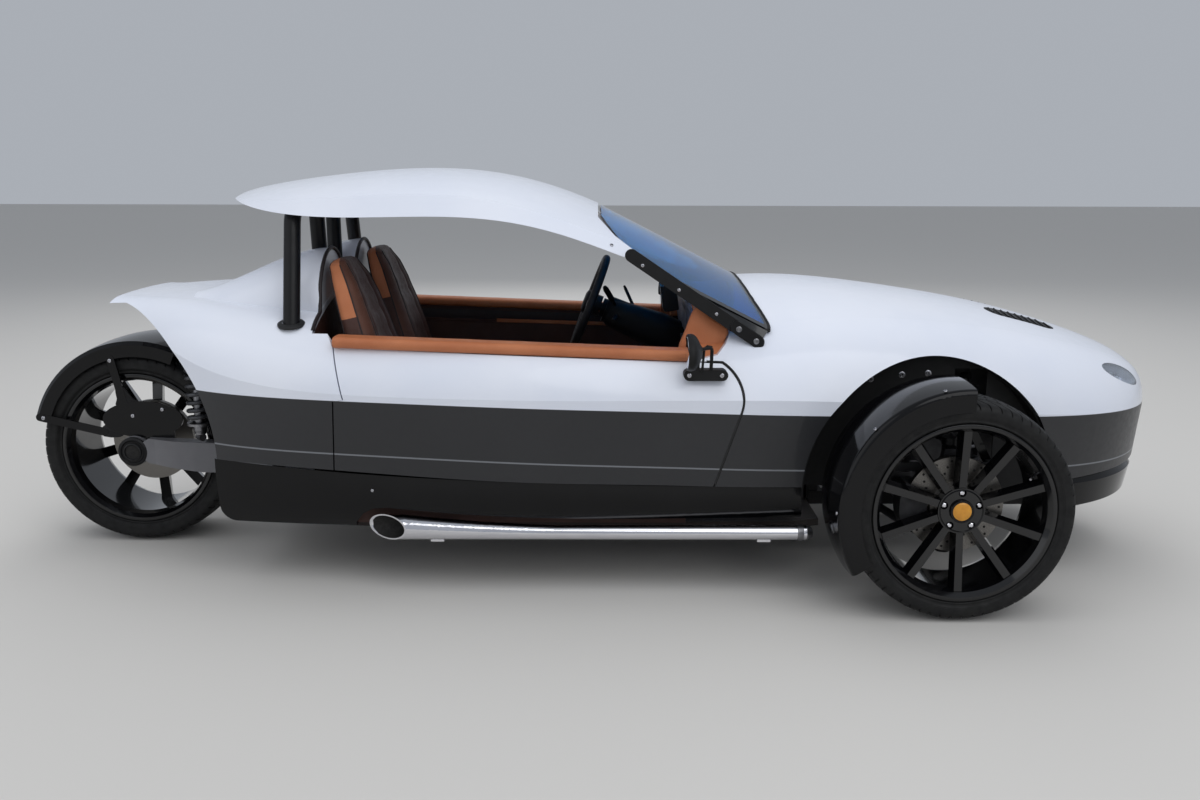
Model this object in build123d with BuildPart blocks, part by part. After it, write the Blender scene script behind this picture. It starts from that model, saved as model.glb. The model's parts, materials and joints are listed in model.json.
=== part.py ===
from build123d import *
from math import atan2, cos, degrees, radians, sin
import os

os.makedirs("parts", exist_ok=True)

# Driving dimensions in millimetres: +X to the front, +Y to the left, +Z up, ground at 0
WHEELBASE = 2575
FRONT_TRACK = 1475
FRONT_AXLE_X = 1065
REAR_AXLE_X = FRONT_AXLE_X - WHEELBASE
FRONT_TYRE_R = 320
FRONT_TYRE_W = 225
REAR_TYRE_R = 327
REAR_TYRE_W = 285
RIM_SEAT_R = 241.3
RIM_LIP_R = 255.5
FRONT_RIM_W = 203
REAR_RIM_W = 254
SPOKES = 10

FRONT_WHEEL_Y = FRONT_TRACK / 2
SKIN = 18
SEAM = 4
FIT = 0.3
WORKING_GAP = 6
SIDES = (("right", -1), ("left", 1))

# Body sections, tail to nose; x is from the front axle, y is half a width
# x, crown z, shoulder y, shoulder z, widest y, widest z, sill y, sill z
BODY_SECTIONS = [
    (-2560, 860, 210, 856, 305, 838, 300, 400),
    (-2400, 873, 280, 856, 415, 768, 405, 400),
    (-2190, 885, 380, 850, 560, 680, 545, 400),
    (-1850, 890, 470, 815, 635, 620, 612, 385),
    (-1450, 882, 500, 790, 655, 605, 632, 360),
    (-1000, 882, 505, 780, 655, 600, 635, 345),
    (-600, 902, 480, 790, 645, 600, 625, 335),
    (-280, 900, 430, 815, 620, 590, 600, 325),
    (50, 858, 370, 795, 575, 560, 558, 308),
    (400, 785, 310, 738, 505, 530, 485, 316),
    (620, 714, 245, 680, 395, 520, 368, 326),
    (745, 654, 165, 630, 262, 510, 226, 330),
    (800, 596, 90, 588, 150, 495, 118, 340),
]
TAIL_X = FRONT_AXLE_X + BODY_SECTIONS[0][0]

# Where the body's panels meet, as x from the front axle and z
OPENING_EDGE = [(-575, 1000), (-575, 905), (-622, 785), (-640, 752), (-668, 722), (-738, 707)]
SEAM_BEND = [(-652, 703), (-618, 672), (-600, 560)]
SEAM_FOOT = (-688, 290)
REAR_SEAM = [(-1900, 1100), (-1832, 800), (-1797, 742), (-1762, 598), (-1792, 592), (-1806, 290)]
TAIL_ARCH = [(-2510, 840), (-2266, 684), (-2165, 400)]
COCKPIT_REAR_X = FRONT_AXLE_X - 1865
COCKPIT_HALF_W = 540

ARCH_X = FRONT_AXLE_X - 20
ARCH_Z = 320
ARCH_R = 392
ARCH_INNER_Y = 430
FLOOR_Z = 168
FLOOR_T = 22


def x_at(from_front_axle):
    return FRONT_AXLE_X + from_front_axle


def save(node, name):
    node.part.label = name
    export_step(node.part, f"parts/{name}.step")


def side_plane(y):
    """An upright plane along the car at y, with its x to the front and its y up."""
    return Plane(origin=(0, y, 0), x_dir=(1, 0, 0), z_dir=(0, -1, 0))


def wheel_plane(x, y, z):
    """A plane through a wheel's axis, with its x to the left and its y up."""
    return Plane(origin=(x, y, z), x_dir=(0, 1, 0), z_dir=(1, 0, 0))


def side_face(points):
    """A closed face in the xz plane at y = 0, with x measured from the front axle."""
    with BuildSketch(side_plane(0)) as face:
        with BuildLine():
            Polyline(*[(x_at(x), z) for x, z in points], close=True)
        make_face()
    return face.sketch


def front_seam_face(points, back=0):
    """A closed face in the xz plane at y = 0 with the front seam as one side, moved back by a gap."""
    shift = x_at(-back)
    bend = [(shift + x, z - back * 0.7) for x, z in SEAM_BEND]
    foot = (shift + SEAM_FOOT[0], SEAM_FOOT[1])
    with BuildSketch(side_plane(0)) as face:
        with BuildLine():
            ThreePointArc(*bend)
            Polyline(bend[-1], foot, *[(x_at(x), z) for x, z in points], bend[0])
        make_face()
    return face.sketch


def body_loft(inset):
    """The body's closed form, or the form inside a skin of the given thickness."""
    last = len(BODY_SECTIONS) - 1
    with BuildPart() as form:
        for i, (x, zc, ys, zs, ym, zm, yb, zb) in enumerate(BODY_SECTIONS):
            shift = inset * ((i == 0) - (i == last))
            drop = 40 if inset else 0
            with BuildSketch(Plane.YZ.offset(x_at(x) + shift)):
                with BuildLine():
                    crown = TangentArc((0, zc - inset), (ys - inset * 0.4, zs - inset * 0.9), tangent=(1, 0))
                    flank = TangentArc(crown @ 1, (ym - inset, zm), tangent=crown % 1)
                    Polyline(flank @ 1, (yb - inset, zb - drop), (0, zb - drop))
                    mirror(about=Plane.YZ)
                make_face()
        loft()
    return form.part


body_form = body_loft(0)
body_inside = body_loft(SKIN)

# Front body: nose, bonnet and wings in one skin
GRILLE_Z = 440
GRILLE_W = 420
GRILLE_H = 130
GRILLE_CORNER_R = 58
LAMP_X = x_at(645)
LAMP_Y = 300
LAMP_Z = 618
LAMP_AIM = radians(56)
LAMP_TILT = 0.45
LAMP_LONG = 96
LAMP_HIGH = 32
LAMP_DROOP = 18
VENT_X = x_at(368)
VENT_Y = 150
VENT_L = 230
VENT_W = 95


def lamp_plane(s):
    """The plane that a headlamp faces along, out of the nose's corner."""
    return Plane(
        origin=(LAMP_X, s * LAMP_Y, LAMP_Z),
        x_dir=(sin(LAMP_AIM), -s * cos(LAMP_AIM), 0),
        z_dir=(cos(LAMP_AIM), s * sin(LAMP_AIM), LAMP_TILT),
    )


with BuildPart() as front_body:
    add(body_form)
    add(body_inside, mode=Mode.SUBTRACT)
    ahead = [(900, SEAM_FOOT[1] - 60), (900, 1000)] + OPENING_EDGE
    extrude(front_seam_face(ahead), amount=900, both=True, mode=Mode.INTERSECT)
    with BuildSketch(side_plane(0)):
        with Locations((ARCH_X, ARCH_Z)):
            Circle(ARCH_R)
    extrude(amount=900, both=True, mode=Mode.SUBTRACT)
    with BuildSketch(Plane.YZ.offset(x_at(560))):
        with Locations((0, GRILLE_Z)):
            RectangleRounded(GRILLE_W, GRILLE_H, GRILLE_CORNER_R)
    extrude(amount=400, mode=Mode.SUBTRACT)
    for side, s in SIDES:
        with BuildSketch(lamp_plane(s)):
            Ellipse(LAMP_LONG, LAMP_HIGH, rotation=s * LAMP_DROOP)
        extrude(amount=110, both=True, mode=Mode.SUBTRACT)
        with BuildSketch(Plane.XY.offset(600)):
            with Locations((VENT_X, s * VENT_Y)):
                SlotOverall(VENT_L, VENT_W)
        extrude(amount=400, mode=Mode.SUBTRACT)
save(front_body, "front_body")

# Headlamps: lenses flush with the nose's corners
with BuildPart() as headlamp_lenses:
    for side, s in SIDES:
        with BuildSketch(lamp_plane(s)):
            Ellipse(LAMP_LONG - FIT, LAMP_HIGH - FIT, rotation=s * LAMP_DROOP)
        extrude(amount=110, both=True)
    add(body_form, mode=Mode.INTERSECT)
    add(body_inside, mode=Mode.SUBTRACT)
save(headlamp_lenses, "headlamp_lenses")

# Side panels: each as thick as the whole cockpit wall, between the two seams
for side, s in SIDES:
    with BuildPart() as side_panel:
        add(body_form)
        rear_edge = [(x + SEAM, z) for x, z in REAR_SEAM[2:]]
        wall = rear_edge[::-1] + [(OPENING_EDGE[-1][0] - SEAM, OPENING_EDGE[-1][1] - SEAM)]
        extrude(front_seam_face(wall, SEAM + 1), amount=900, both=True, mode=Mode.INTERSECT)
        with Locations((x_at(-1200), s * COCKPIT_HALF_W, 600)):
            Box(1800, 900, 900, align=(Align.CENTER, Align.MIN if s > 0 else Align.MAX, Align.CENTER), mode=Mode.INTERSECT)
    save(side_panel, f"{side}_side_panel")

# Rear body: tail, deck and the two fairings behind the seats, in one skin
FAIRING_Y = 250
FAIRINGS = [
    # x from the front axle, half width, base z, top z
    (-1866, 168, 760, 1012),
    (-2000, 160, 800, 986),
    (-2125, 142, 800, 934),
    (-2290, 95, 800, 876),
]

fairings = []
for side, s in SIDES:
    with BuildPart() as fairing:
        for x, w, base, top in FAIRINGS:
            with BuildSketch(Plane.YZ.offset(x_at(x))):
                with BuildLine():
                    brow = ThreePointArc(
                        (s * FAIRING_Y - w, base),
                        (s * FAIRING_Y, top),
                        (s * FAIRING_Y + w, base),
                    )
                    Line(brow @ 1, brow @ 0)
                make_face()
        loft()
    fairings.append(fairing.part)

with BuildPart() as rear_body:
    add(body_form)
    add(body_inside, mode=Mode.SUBTRACT)
    behind = REAR_SEAM + [(-2700, 300), (-2700, 1100)]
    extrude(side_face(behind), amount=900, both=True, mode=Mode.INTERSECT)
    for fairing_form in fairings:
        add(fairing_form - body_inside)
    with Locations((COCKPIT_REAR_X, 0, 650)):
        Box(400, 2 * COCKPIT_HALF_W, 900, align=(Align.MIN, Align.CENTER, Align.CENTER), mode=Mode.SUBTRACT)
    with BuildSketch(side_plane(0)):
        with BuildLine():
            arch = ThreePointArc(*[(x_at(x), z) for x, z in TAIL_ARCH])
            Polyline(arch @ 1, ((arch @ 1).X, 300), (TAIL_X - 60, 300), (TAIL_X - 60, (arch @ 0).Y), arch @ 0)
        make_face()
    extrude(amount=900, both=True, mode=Mode.SUBTRACT)
save(rear_body, "rear_body")

# Skirts: gloss lower sides that tuck in under the sills, cut up over each exhaust
SKIRTS = [
    # x from the front axle, sill y, sill z, bulge y, bulge z, hem y, hem z
    (-2176, 543, 398, 536, 300, 502, 192),
    (-1600, 618, 362, 610, 275, 560, 190),
    (-1000, 631, 343, 622, 265, 562, 194),
    (-405, 602, 327, 594, 260, 535, 200),
]
SKIRT_CORNER_R = 48
SKIRT_REAR_X = SKIRTS[0][0]
SKIRT_REAR_HEM_Z = SKIRTS[0][6]
# What the exhaust leaves free under the skirt, as x from the front axle and z
EXHAUST_BAY = [
    (-1752, 100), (-1752, 204), (-1724, 240), (-1692, 258), (-1650, 262), (-1430, 244),
    (-1250, 234), (-1000, 228), (-300, 228), (-300, 100),
]

with BuildPart() as skirts:
    for side, s in SIDES:
        with BuildPart(mode=Mode.PRIVATE) as skirt:
            for x, yb, zb, ym, zm, yh, zh in SKIRTS:
                with BuildSketch(Plane.YZ.offset(x_at(x))):
                    with BuildLine():
                        belly = ThreePointArc((s * yb, zb), (s * ym, zm), (s * yh, zh))
                        Polyline(belly @ 1, (s * (yh - 25), zh), (s * (yh - 25), zb), belly @ 0)
                    make_face()
            loft()
        add(skirt.part)
    with BuildSketch(side_plane(0)):
        with BuildLine():
            FilletPolyline(
                (x_at(0), SKIRT_REAR_HEM_Z), (x_at(SKIRT_REAR_X), SKIRT_REAR_HEM_Z),
                (x_at(SKIRT_REAR_X), 500), (x_at(0), 500),
                radius=SKIRT_CORNER_R, close=True,
            )
        make_face()
    extrude(amount=900, both=True, mode=Mode.INTERSECT)
    extrude(side_face(EXHAUST_BAY), amount=900, both=True, mode=Mode.SUBTRACT)
    with BuildSketch(side_plane(0)):
        with Locations((ARCH_X, ARCH_Z)):
            Circle(ARCH_R)
    extrude(amount=900, both=True, mode=Mode.SUBTRACT)
save(skirts, "skirts")

# Chin: gloss lip under the nose, its plan following the nose
CHIN_REAR_X = x_at(400)
CHIN_PLAN = [(CHIN_REAR_X, 482), (x_at(640), 350), (x_at(764), 186)]
CHIN_NOSE = [(x_at(791), 95), (x_at(798), 0)]
CHIN_LEVELS = [
    # how far the plan is drawn in, z
    (8, 350),
    (8, 320),
    (0, 302),
    (10, 225),
    (70, 186),
]
with BuildPart() as front_lip:
    for draw_in, z in CHIN_LEVELS:
        with BuildSketch(Plane.XY.offset(z)):
            with BuildLine():
                near, middle, far = [(x - draw_in, y - draw_in) for x, y in CHIN_PLAN]
                corner, nose = [(x - draw_in, y) for x, y in CHIN_NOSE]
                side_run = ThreePointArc((CHIN_REAR_X, near[1]), middle, far)
                front_run = ThreePointArc(far, corner, nose)
                Polyline(front_run @ 1, (CHIN_REAR_X, 0), side_run @ 0)
                mirror(about=Plane.XZ)
            make_face()
    loft(ruled=True)
    with Locations((CHIN_REAR_X, 0, 250)):
        Box(380, 620, 400, mode=Mode.SUBTRACT)
    add(body_form.moved(Location((0, 0, -FIT))), mode=Mode.SUBTRACT)
save(front_lip, "front_lip")

# Wheels: tyres with rounded shoulders, and deep rims with slim straight spokes
WHEELS = [
    # name, x, y, outward side, tyre radius, tyre width, rim width, hub face from centre, spoke face from centre
    ("front_right", FRONT_AXLE_X, -FRONT_WHEEL_Y, -1, FRONT_TYRE_R, FRONT_TYRE_W, FRONT_RIM_W, 34, 92),
    ("front_left", FRONT_AXLE_X, FRONT_WHEEL_Y, 1, FRONT_TYRE_R, FRONT_TYRE_W, FRONT_RIM_W, 34, 92),
    ("rear", REAR_AXLE_X, 0, 1, REAR_TYRE_R, REAR_TYRE_W, REAR_RIM_W, 44, 112),
]
BARREL_T = 7
HUB_R = 66
HUB_BORE_R = 26
CAP_R = 33
LUG_CIRCLE_R = 52
DISC_R = 140
DISC_T = 20

for name, wx, wy, s, tyre_r, tyre_w, rim_w, hub_face, spoke_face in WHEELS:
    axis = Axis((wx, wy, tyre_r), (0, 1, 0))
    across = wheel_plane(wx, wy, tyre_r)
    half_rim = rim_w / 2
    half_tyre = tyre_w / 2
    with BuildPart() as tyre:
        with BuildSketch(across):
            with BuildLine():
                tread = ThreePointArc((0, tyre_r), (half_tyre * 0.5, tyre_r - 2), (half_tyre - 22, tyre_r - 8))
                edge = TangentArc(tread @ 1, (half_tyre - 2, tyre_r - 30), tangent=tread % 1)
                wall = TangentArc(edge @ 1, (half_rim - 2, RIM_LIP_R + 2), tangent=edge % 1)
                Polyline(wall @ 1, (half_rim - 2, RIM_SEAT_R), (0, RIM_SEAT_R))
                mirror(about=Plane.YZ)
            make_face()
        revolve(axis=axis)
    save(tyre, f"{name}_tyre")

    with BuildPart() as rim:
        with BuildSketch(across):
            with BuildLine():
                barrel_in = RIM_SEAT_R - BARREL_T
                outer = [
                    (s * (half_rim + 6), RIM_LIP_R - 11),
                    (s * (half_rim + 6), RIM_LIP_R),
                    (s * half_rim, RIM_LIP_R),
                    (s * (half_rim - 1), RIM_SEAT_R),
                    (s * (1 - half_rim), RIM_SEAT_R),
                    (-s * half_rim, RIM_LIP_R),
                    (-s * (half_rim + 6), RIM_LIP_R),
                    (-s * (half_rim + 6), RIM_LIP_R - 11),
                    (-s * (half_rim - 8), barrel_in),
                    (-s * (half_rim - 30), barrel_in - 6),
                    (s * (half_rim - 30), barrel_in - 6),
                    (s * (half_rim - 8), barrel_in),
                ]
                Polyline(*outer, close=True)
            make_face()
        revolve(axis=axis)
        hub_plane = Plane(origin=(wx, wy + s * hub_face, tyre_r), x_dir=(1, 0, 0), z_dir=(0, s, 0))
        hub_depth = spoke_face - 16 - hub_face
        with BuildSketch(hub_plane):
            Circle(HUB_R)
        extrude(amount=hub_depth)
        for k in range(SPOKES):
            turn = 360 / SPOKES * k
            reach = [
                # radius, face half width, back half width, face depth, back depth
                (HUB_R - 8, 10, 16, spoke_face - 20, hub_face + 2),
                (RIM_SEAT_R - BARREL_T - 2, 11, 19, spoke_face - 2, spoke_face - 34),
            ]
            with BuildPart(mode=Mode.PRIVATE) as spoke:
                for r, face_w, back_w, face_d, back_d in reach:
                    out = Vector(sin(radians(turn)), 0, cos(radians(turn)))
                    place = Vector(wx, wy, tyre_r) + out * r
                    with BuildSketch(Plane(origin=tuple(place), x_dir=(0, 1, 0), z_dir=tuple(out))):
                        Polygon(
                            (s * face_d, -face_w),
                            (s * face_d, face_w),
                            (s * back_d, back_w),
                            (s * back_d, -back_w),
                            align=None,
                        )
                loft(ruled=True)
            add(spoke.part)
        with BuildSketch(hub_plane):
            Circle(HUB_BORE_R)
        extrude(amount=hub_depth - 12, mode=Mode.SUBTRACT)
        with BuildSketch(hub_plane.offset(hub_depth)):
            with PolarLocations(LUG_CIRCLE_R, 5, start_angle=90):
                Circle(11)
        extrude(amount=-24, mode=Mode.SUBTRACT)
        with BuildSketch(hub_plane.offset(hub_depth - 6)):
            Circle(CAP_R)
        extrude(amount=12)
    save(rim, f"{name}_rim")

    with BuildPart() as disc:
        disc_plane = Plane(origin=(wx, wy + s * (hub_face - 44), tyre_r), x_dir=(1, 0, 0), z_dir=(0, s, 0))
        with BuildSketch(disc_plane):
            Circle(DISC_R)
        extrude(amount=DISC_T)
        with BuildSketch(disc_plane):
            Circle(76)
        extrude(amount=44)
        with BuildSketch(disc_plane):
            Circle(20 + FIT)
        extrude(amount=40, mode=Mode.SUBTRACT)
    save(disc, f"{name}_brake_disc")

# Front corners: knuckles on upright kingpins, and the fenders that the knuckles carry
# Offsets across a front corner are from the wheel's centre plane, outward positive
KINGPIN_IN = -75
WEB_IN = -63
WEB_OUT = -33
UPPER_PIN_Z = FRONT_TYRE_R + 140
LOWER_PIN_Z = FRONT_TYRE_R - 128
PIN_R = 8
LUG_H = 24
STEERING_ARM = 110
STEERING_ARM_Z = FRONT_TYRE_R - 60
FENDER_HALF_W = 125
FENDER_WALL = 6
FENDER_IN_R = FRONT_TYRE_R + 27
FENDER_T = 11
FENDER_FROM = 89
FENDER_TO = 210
FENDER_SKIRT_R = 292
STAY_FOOT_X = 150
STAY_FOOT_Z = 86
KINGPIN_Y = FRONT_WHEEL_Y + KINGPIN_IN


def across_front(s, offset):
    """A plane at an offset across a front corner: x to the front, z outward."""
    place = (FRONT_AXLE_X, s * (FRONT_WHEEL_Y + offset), FRONT_TYRE_R)
    return Plane(origin=place, x_dir=(1, 0, 0), z_dir=(0, s, 0))


def rod(start, end, radius):
    """A round bar from one point to another."""
    start, end = Vector(start), Vector(end)
    along = end - start
    return Solid.make_cylinder(radius, along.length, Plane(origin=start, z_dir=along))


def block(low, high):
    """A box from its low corner to its high corner, in either order on each axis."""
    size = [abs(b - a) for a, b in zip(low, high)]
    corner = [min(a, b) for a, b in zip(low, high)]
    return Solid.make_box(*size, Plane(origin=corner))


for side, s in SIDES:
    with BuildPart() as knuckle:
        with BuildSketch(across_front(s, WEB_IN)):
            with BuildLine():
                Polyline(
                    (-22, 152), (-46, 40), (-46, -40), (-22, -140),
                    (22, -140), (46, -40), (46, 40), (22, 152),
                    close=True,
                )
            make_face()
            if s > 0:
                mirror(about=Plane.XZ, mode=Mode.REPLACE)
        extrude(amount=WEB_OUT - WEB_IN)
        for z in (UPPER_PIN_Z, LOWER_PIN_Z):
            with Locations((FRONT_AXLE_X, s * KINGPIN_Y, z)):
                Cylinder(19, LUG_H)
                Cylinder(PIN_R + FIT, LUG_H, mode=Mode.SUBTRACT)
        with BuildSketch(across_front(s, WEB_OUT)):
            Circle(20)
        extrude(amount=26 - WEB_OUT)
        arm_y = s * (KINGPIN_Y + 14)
        add(block((FRONT_AXLE_X - STEERING_ARM, arm_y - 12, STEERING_ARM_Z - 8),
                  (FRONT_AXLE_X, arm_y + 12, STEERING_ARM_Z + 8)))
        with Locations((FRONT_AXLE_X - STEERING_ARM, s * KINGPIN_Y, STEERING_ARM_Z)):
            Cylinder(18, 16)
        bar_low, bar_high = FRONT_TYRE_R + STAY_FOOT_Z - 12, FRONT_TYRE_R + STAY_FOOT_Z + 12
        bar_in, bar_out = s * (KINGPIN_Y - 20), s * (KINGPIN_Y - 4)
        web_y = s * (FRONT_WHEEL_Y + WEB_IN + 5)
        foot_y = s * (FRONT_WHEEL_Y - FENDER_HALF_W)
        add(block((FRONT_AXLE_X - STAY_FOOT_X, bar_in, bar_low), (FRONT_AXLE_X + STAY_FOOT_X, bar_out, bar_high)))
        add(block((FRONT_AXLE_X - 20, bar_in, bar_low), (FRONT_AXLE_X + 20, web_y, bar_high)))
        for dx in (-STAY_FOOT_X, STAY_FOOT_X - 24):
            add(block((FRONT_AXLE_X + dx, bar_out, bar_low), (FRONT_AXLE_X + dx + 24, foot_y, bar_high)))
        with BuildSketch(across_front(s, -42)):
            with BuildLine():
                inner = CenterArc((0, 0), 84, 155, 50)
                outer = CenterArc((0, 0), 162, 155, 50)
                Line(inner @ 0, outer @ 0)
                Line(inner @ 1, outer @ 1)
            make_face()
        extrude(amount=72)
        with BuildSketch(across_front(s, -10 - WORKING_GAP)):
            Circle(DISC_R + WORKING_GAP)
            Circle(30, mode=Mode.SUBTRACT)
        extrude(amount=DISC_T + 2 * WORKING_GAP, mode=Mode.SUBTRACT)
        add(block((FRONT_AXLE_X - 100, s * (FRONT_WHEEL_Y - 56), FRONT_TYRE_R - 28),
                  (FRONT_AXLE_X - 30, s * (FRONT_WHEEL_Y - 34), FRONT_TYRE_R + 28)))
    save(knuckle, f"{side}_knuckle")

    with BuildPart() as fender:
        with BuildSketch(wheel_plane(FRONT_AXLE_X, s * FRONT_WHEEL_Y, FRONT_TYRE_R)):
            with BuildLine():
                top_r = FENDER_IN_R + FENDER_T
                half = FENDER_HALF_W
                roof_line = ThreePointArc((half - 14, top_r - 3), (0, top_r + 4), (14 - half, top_r - 3))
                left_turn = TangentArc(roof_line @ 1, (-half, top_r - 18), tangent=roof_line % 1)
                left_low = FENDER_SKIRT_R if s < 0 else FENDER_IN_R - 17
                right_low = FENDER_SKIRT_R if s > 0 else FENDER_IN_R - 17
                Polyline(left_turn @ 1, (-half, left_low), (FENDER_WALL - half, left_low),
                         (FENDER_WALL - half, FENDER_IN_R), (half - FENDER_WALL, FENDER_IN_R),
                         (half - FENDER_WALL, right_low), (half, right_low), (half, top_r - 18))
                ThreePointArc((half, top_r - 18), (half - 4, top_r - 7), roof_line @ 0)
            make_face()
        turn_axis = Axis((FRONT_AXLE_X, s * FRONT_WHEEL_Y, FRONT_TYRE_R), (0, -1, 0))
        revolve(axis=turn_axis, revolution_arc=FENDER_TO - FENDER_FROM)
    fender_part = fender.part.rotate(turn_axis, FENDER_FROM - 90)
    with BuildPart() as fender:
        add(fender_part)
        flange_r = FENDER_IN_R - 8
        for foot, angle in ((-STAY_FOOT_X + 12, 132), (STAY_FOOT_X - 12, 90)):
            tip = Vector(flange_r * cos(radians(angle)), flange_r * sin(radians(angle)))
            foot_at = Vector(foot, STAY_FOOT_Z)
            with BuildSketch(side_plane(s * (FRONT_WHEEL_Y - FENDER_HALF_W))):
                with Locations((FRONT_AXLE_X + (foot_at.X + tip.X) / 2, FRONT_TYRE_R + (foot_at.Y + tip.Y) / 2)):
                    lie = degrees(atan2(tip.Y - foot_at.Y, tip.X - foot_at.X))
                    SlotOverall((tip - foot_at).length + 24, 24, rotation=lie)
            extrude(amount=s * 8)
    save(fender, f"{side}_front_fender")

# Front suspension arms with their ball pins, and the coil-over shocks ahead of them
WISHBONES = [
    # ball cup side of the lug, pin z, inboard half spread, inboard y, inboard z, leg radius
    (-1, LOWER_PIN_Z, 140, 305, 205, 13),
    (1, UPPER_PIN_Z, 110, 335, 492, 10),
]
CUP_H = 20
EYE_END = 4
SHOCK_X = FRONT_AXLE_X + 128
SHOCK_FOOT_Y = 500
SHOCK_FOOT_Z = 206
SHOCK_TOP_Y = 385
SHOCK_TOP_Z = 640


def coil_over(foot, top, coil_r, turns, wire_r):
    """A damper with a coil spring round it, from its lower eye to its upper eye."""
    foot, top = Vector(foot), Vector(top)
    along = (top - foot).normalized()
    length = (top - foot).length
    low, high = foot + along * 62, top - along * 46
    rise = (high - low).length
    pieces = [
        rod(foot, foot + along * (length * 0.55), coil_r * 0.52),
        rod(foot + along * (length * 0.5), top, coil_r * 0.26),
        rod(low - along * 8, low, coil_r + wire_r),
        rod(high, high + along * 8, coil_r + wire_r),
        rod(foot - along * EYE_END, foot + along * 30, coil_r * 0.42),
        rod(top - along * 30, top + along * EYE_END, coil_r * 0.42),
    ]
    pitch = (rise - 2 * wire_r) / turns
    for k in range(turns):
        centre = low + along * (wire_r + pitch * (k + 0.5))
        pieces.append(Solid.make_torus(coil_r, wire_r, Plane(origin=centre, z_dir=along)))
    pieces.append(rod(low, high, coil_r - wire_r * 0.8))
    return pieces


for side, s in SIDES:
    with BuildPart() as wishbones:
        for away, pin_z, spread, in_y, in_z, leg_r in WISHBONES:
            cup_z = pin_z + away * (LUG_H / 2 + WORKING_GAP + CUP_H / 2)
            cup = (FRONT_AXLE_X, s * KINGPIN_Y, cup_z)
            with Locations(cup):
                Cylinder(21, CUP_H)
            add(rod(cup, (FRONT_AXLE_X, s * KINGPIN_Y, pin_z - away * LUG_H / 2), PIN_R))
            for dx in (-spread, spread):
                add(rod(cup, (FRONT_AXLE_X + dx, s * in_y, in_z), leg_r))
                add(rod((FRONT_AXLE_X + dx - 28, s * in_y, in_z), (FRONT_AXLE_X + dx + 28, s * in_y, in_z), leg_r + 9))
        leg_y = s * (SHOCK_FOOT_Y + 4)
        add(rod((FRONT_AXLE_X + 40, leg_y, SHOCK_FOOT_Z - 18), (SHOCK_X + 16, leg_y, SHOCK_FOOT_Z - 18), 9))
    save(wishbones, f"{side}_wishbones")

    with BuildPart() as shock:
        for piece in coil_over((SHOCK_X, s * SHOCK_FOOT_Y, SHOCK_FOOT_Z), (SHOCK_X, s * SHOCK_TOP_Y, SHOCK_TOP_Z), 30, 8, 6):
            add(piece)
    save(shock, f"{side}_front_shock")

# Steering rack with its tie rods, which slides across the car as the knuckles turn
RACK_X = FRONT_AXLE_X - STEERING_ARM
RACK_Z = STEERING_ARM_Z + 8 + WORKING_GAP + 12
RACK_R = 13
with BuildPart() as steering_rack:
    add(rod((RACK_X, -KINGPIN_Y + 8, RACK_Z), (RACK_X, KINGPIN_Y - 8, RACK_Z), 8))
    add(rod((RACK_X, -330, RACK_Z), (RACK_X, 330, RACK_Z), RACK_R))
    for side, s in SIDES:
        with Locations((RACK_X, s * KINGPIN_Y, RACK_Z)):
            Cylinder(15, 22)
save(steering_rack, "steering_rack")

# Front frame: lower and upper rails, cross members, shock towers and the rack's housing
ENGINE_HALF_W = 235
with BuildPart() as front_frame:
    for s in (-1, 1):
        add(block((x_at(470), s * 255, 185), (x_at(-330), s * 296, 228)))
        add(block((x_at(420), s * 285, 470), (x_at(-330), s * 325, 512)))
        for x in (400, 215, -300):
            add(block((x_at(x), s * 260, 200), (x_at(x - 36), s * 292, 500)))
        add(block((SHOCK_X - 34, s * 292, 505), (SHOCK_X + 34, s * 320, 668)))
        add(block((SHOCK_X - 34, s * 292, 660), (SHOCK_X + 34, s * 412, 668)))
    for x in (452, -280):
        add(block((x_at(x), -296, 190), (x_at(x - 40), 296, 224)))
    add(block((x_at(452), -250, 224), (x_at(440), -210, 560)))
    add(block((x_at(452), 250, 224), (x_at(440), 210, 560)))
    add(block((x_at(452), -250, 530), (x_at(440), 250, 560)))
    for s in (-1, 1):
        for x in (320, 20):
            add(block((x_at(x), s * (ENGINE_HALF_W + FIT), 216), (x_at(x - 60), s * 290, 262)))
    add(rod((RACK_X, -255, RACK_Z), (RACK_X, 255, RACK_Z), 26))
    for s in (-1, 1):
        add(block((RACK_X - 20, s * 232, 200), (RACK_X + 20, s * 290, RACK_Z)))
    for s in (-1, 1):
        for away, pin_z, spread, in_y, in_z, leg_r in WISHBONES:
            for dx in (-spread, spread):
                boss = rod((FRONT_AXLE_X + dx - 40, s * in_y, in_z), (FRONT_AXLE_X + dx + 40, s * in_y, in_z), leg_r + 9 + FIT)
                add(boss, mode=Mode.SUBTRACT)
    with BuildSketch(Plane(origin=(RACK_X, -400, RACK_Z), x_dir=(1, 0, 0), z_dir=(0, 1, 0))):
        Circle(RACK_R + FIT)
    extrude(amount=800, mode=Mode.SUBTRACT)
save(front_frame, "front_frame")

# Engine and gearbox: one plain block, with the half shafts out of its sides
SHAFT_END_Y = KINGPIN_Y - 24
with BuildPart() as engine:
    add(block((x_at(-70), -ENGINE_HALF_W, 240), (x_at(400), ENGINE_HALF_W, 640)))
save(engine, "engine")

with BuildPart() as half_shafts:
    for side, s in SIDES:
        shaft_from = ENGINE_HALF_W + FIT
        add(rod((FRONT_AXLE_X, s * shaft_from, FRONT_TYRE_R), (FRONT_AXLE_X, s * SHAFT_END_Y, FRONT_TYRE_R), 14))
        for start, end, big, small in ((shaft_from, shaft_from + 85, 44, 20), (SHAFT_END_Y, SHAFT_END_Y - 75, 38, 18)):
            out = 1 if end > start else -1
            boot_plane = Plane(origin=(FRONT_AXLE_X, s * start, FRONT_TYRE_R), z_dir=(0, s * out, 0))
            add(Solid.make_cone(big, small, abs(end - start), boot_plane))
save(half_shafts, "half_shafts")

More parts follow.
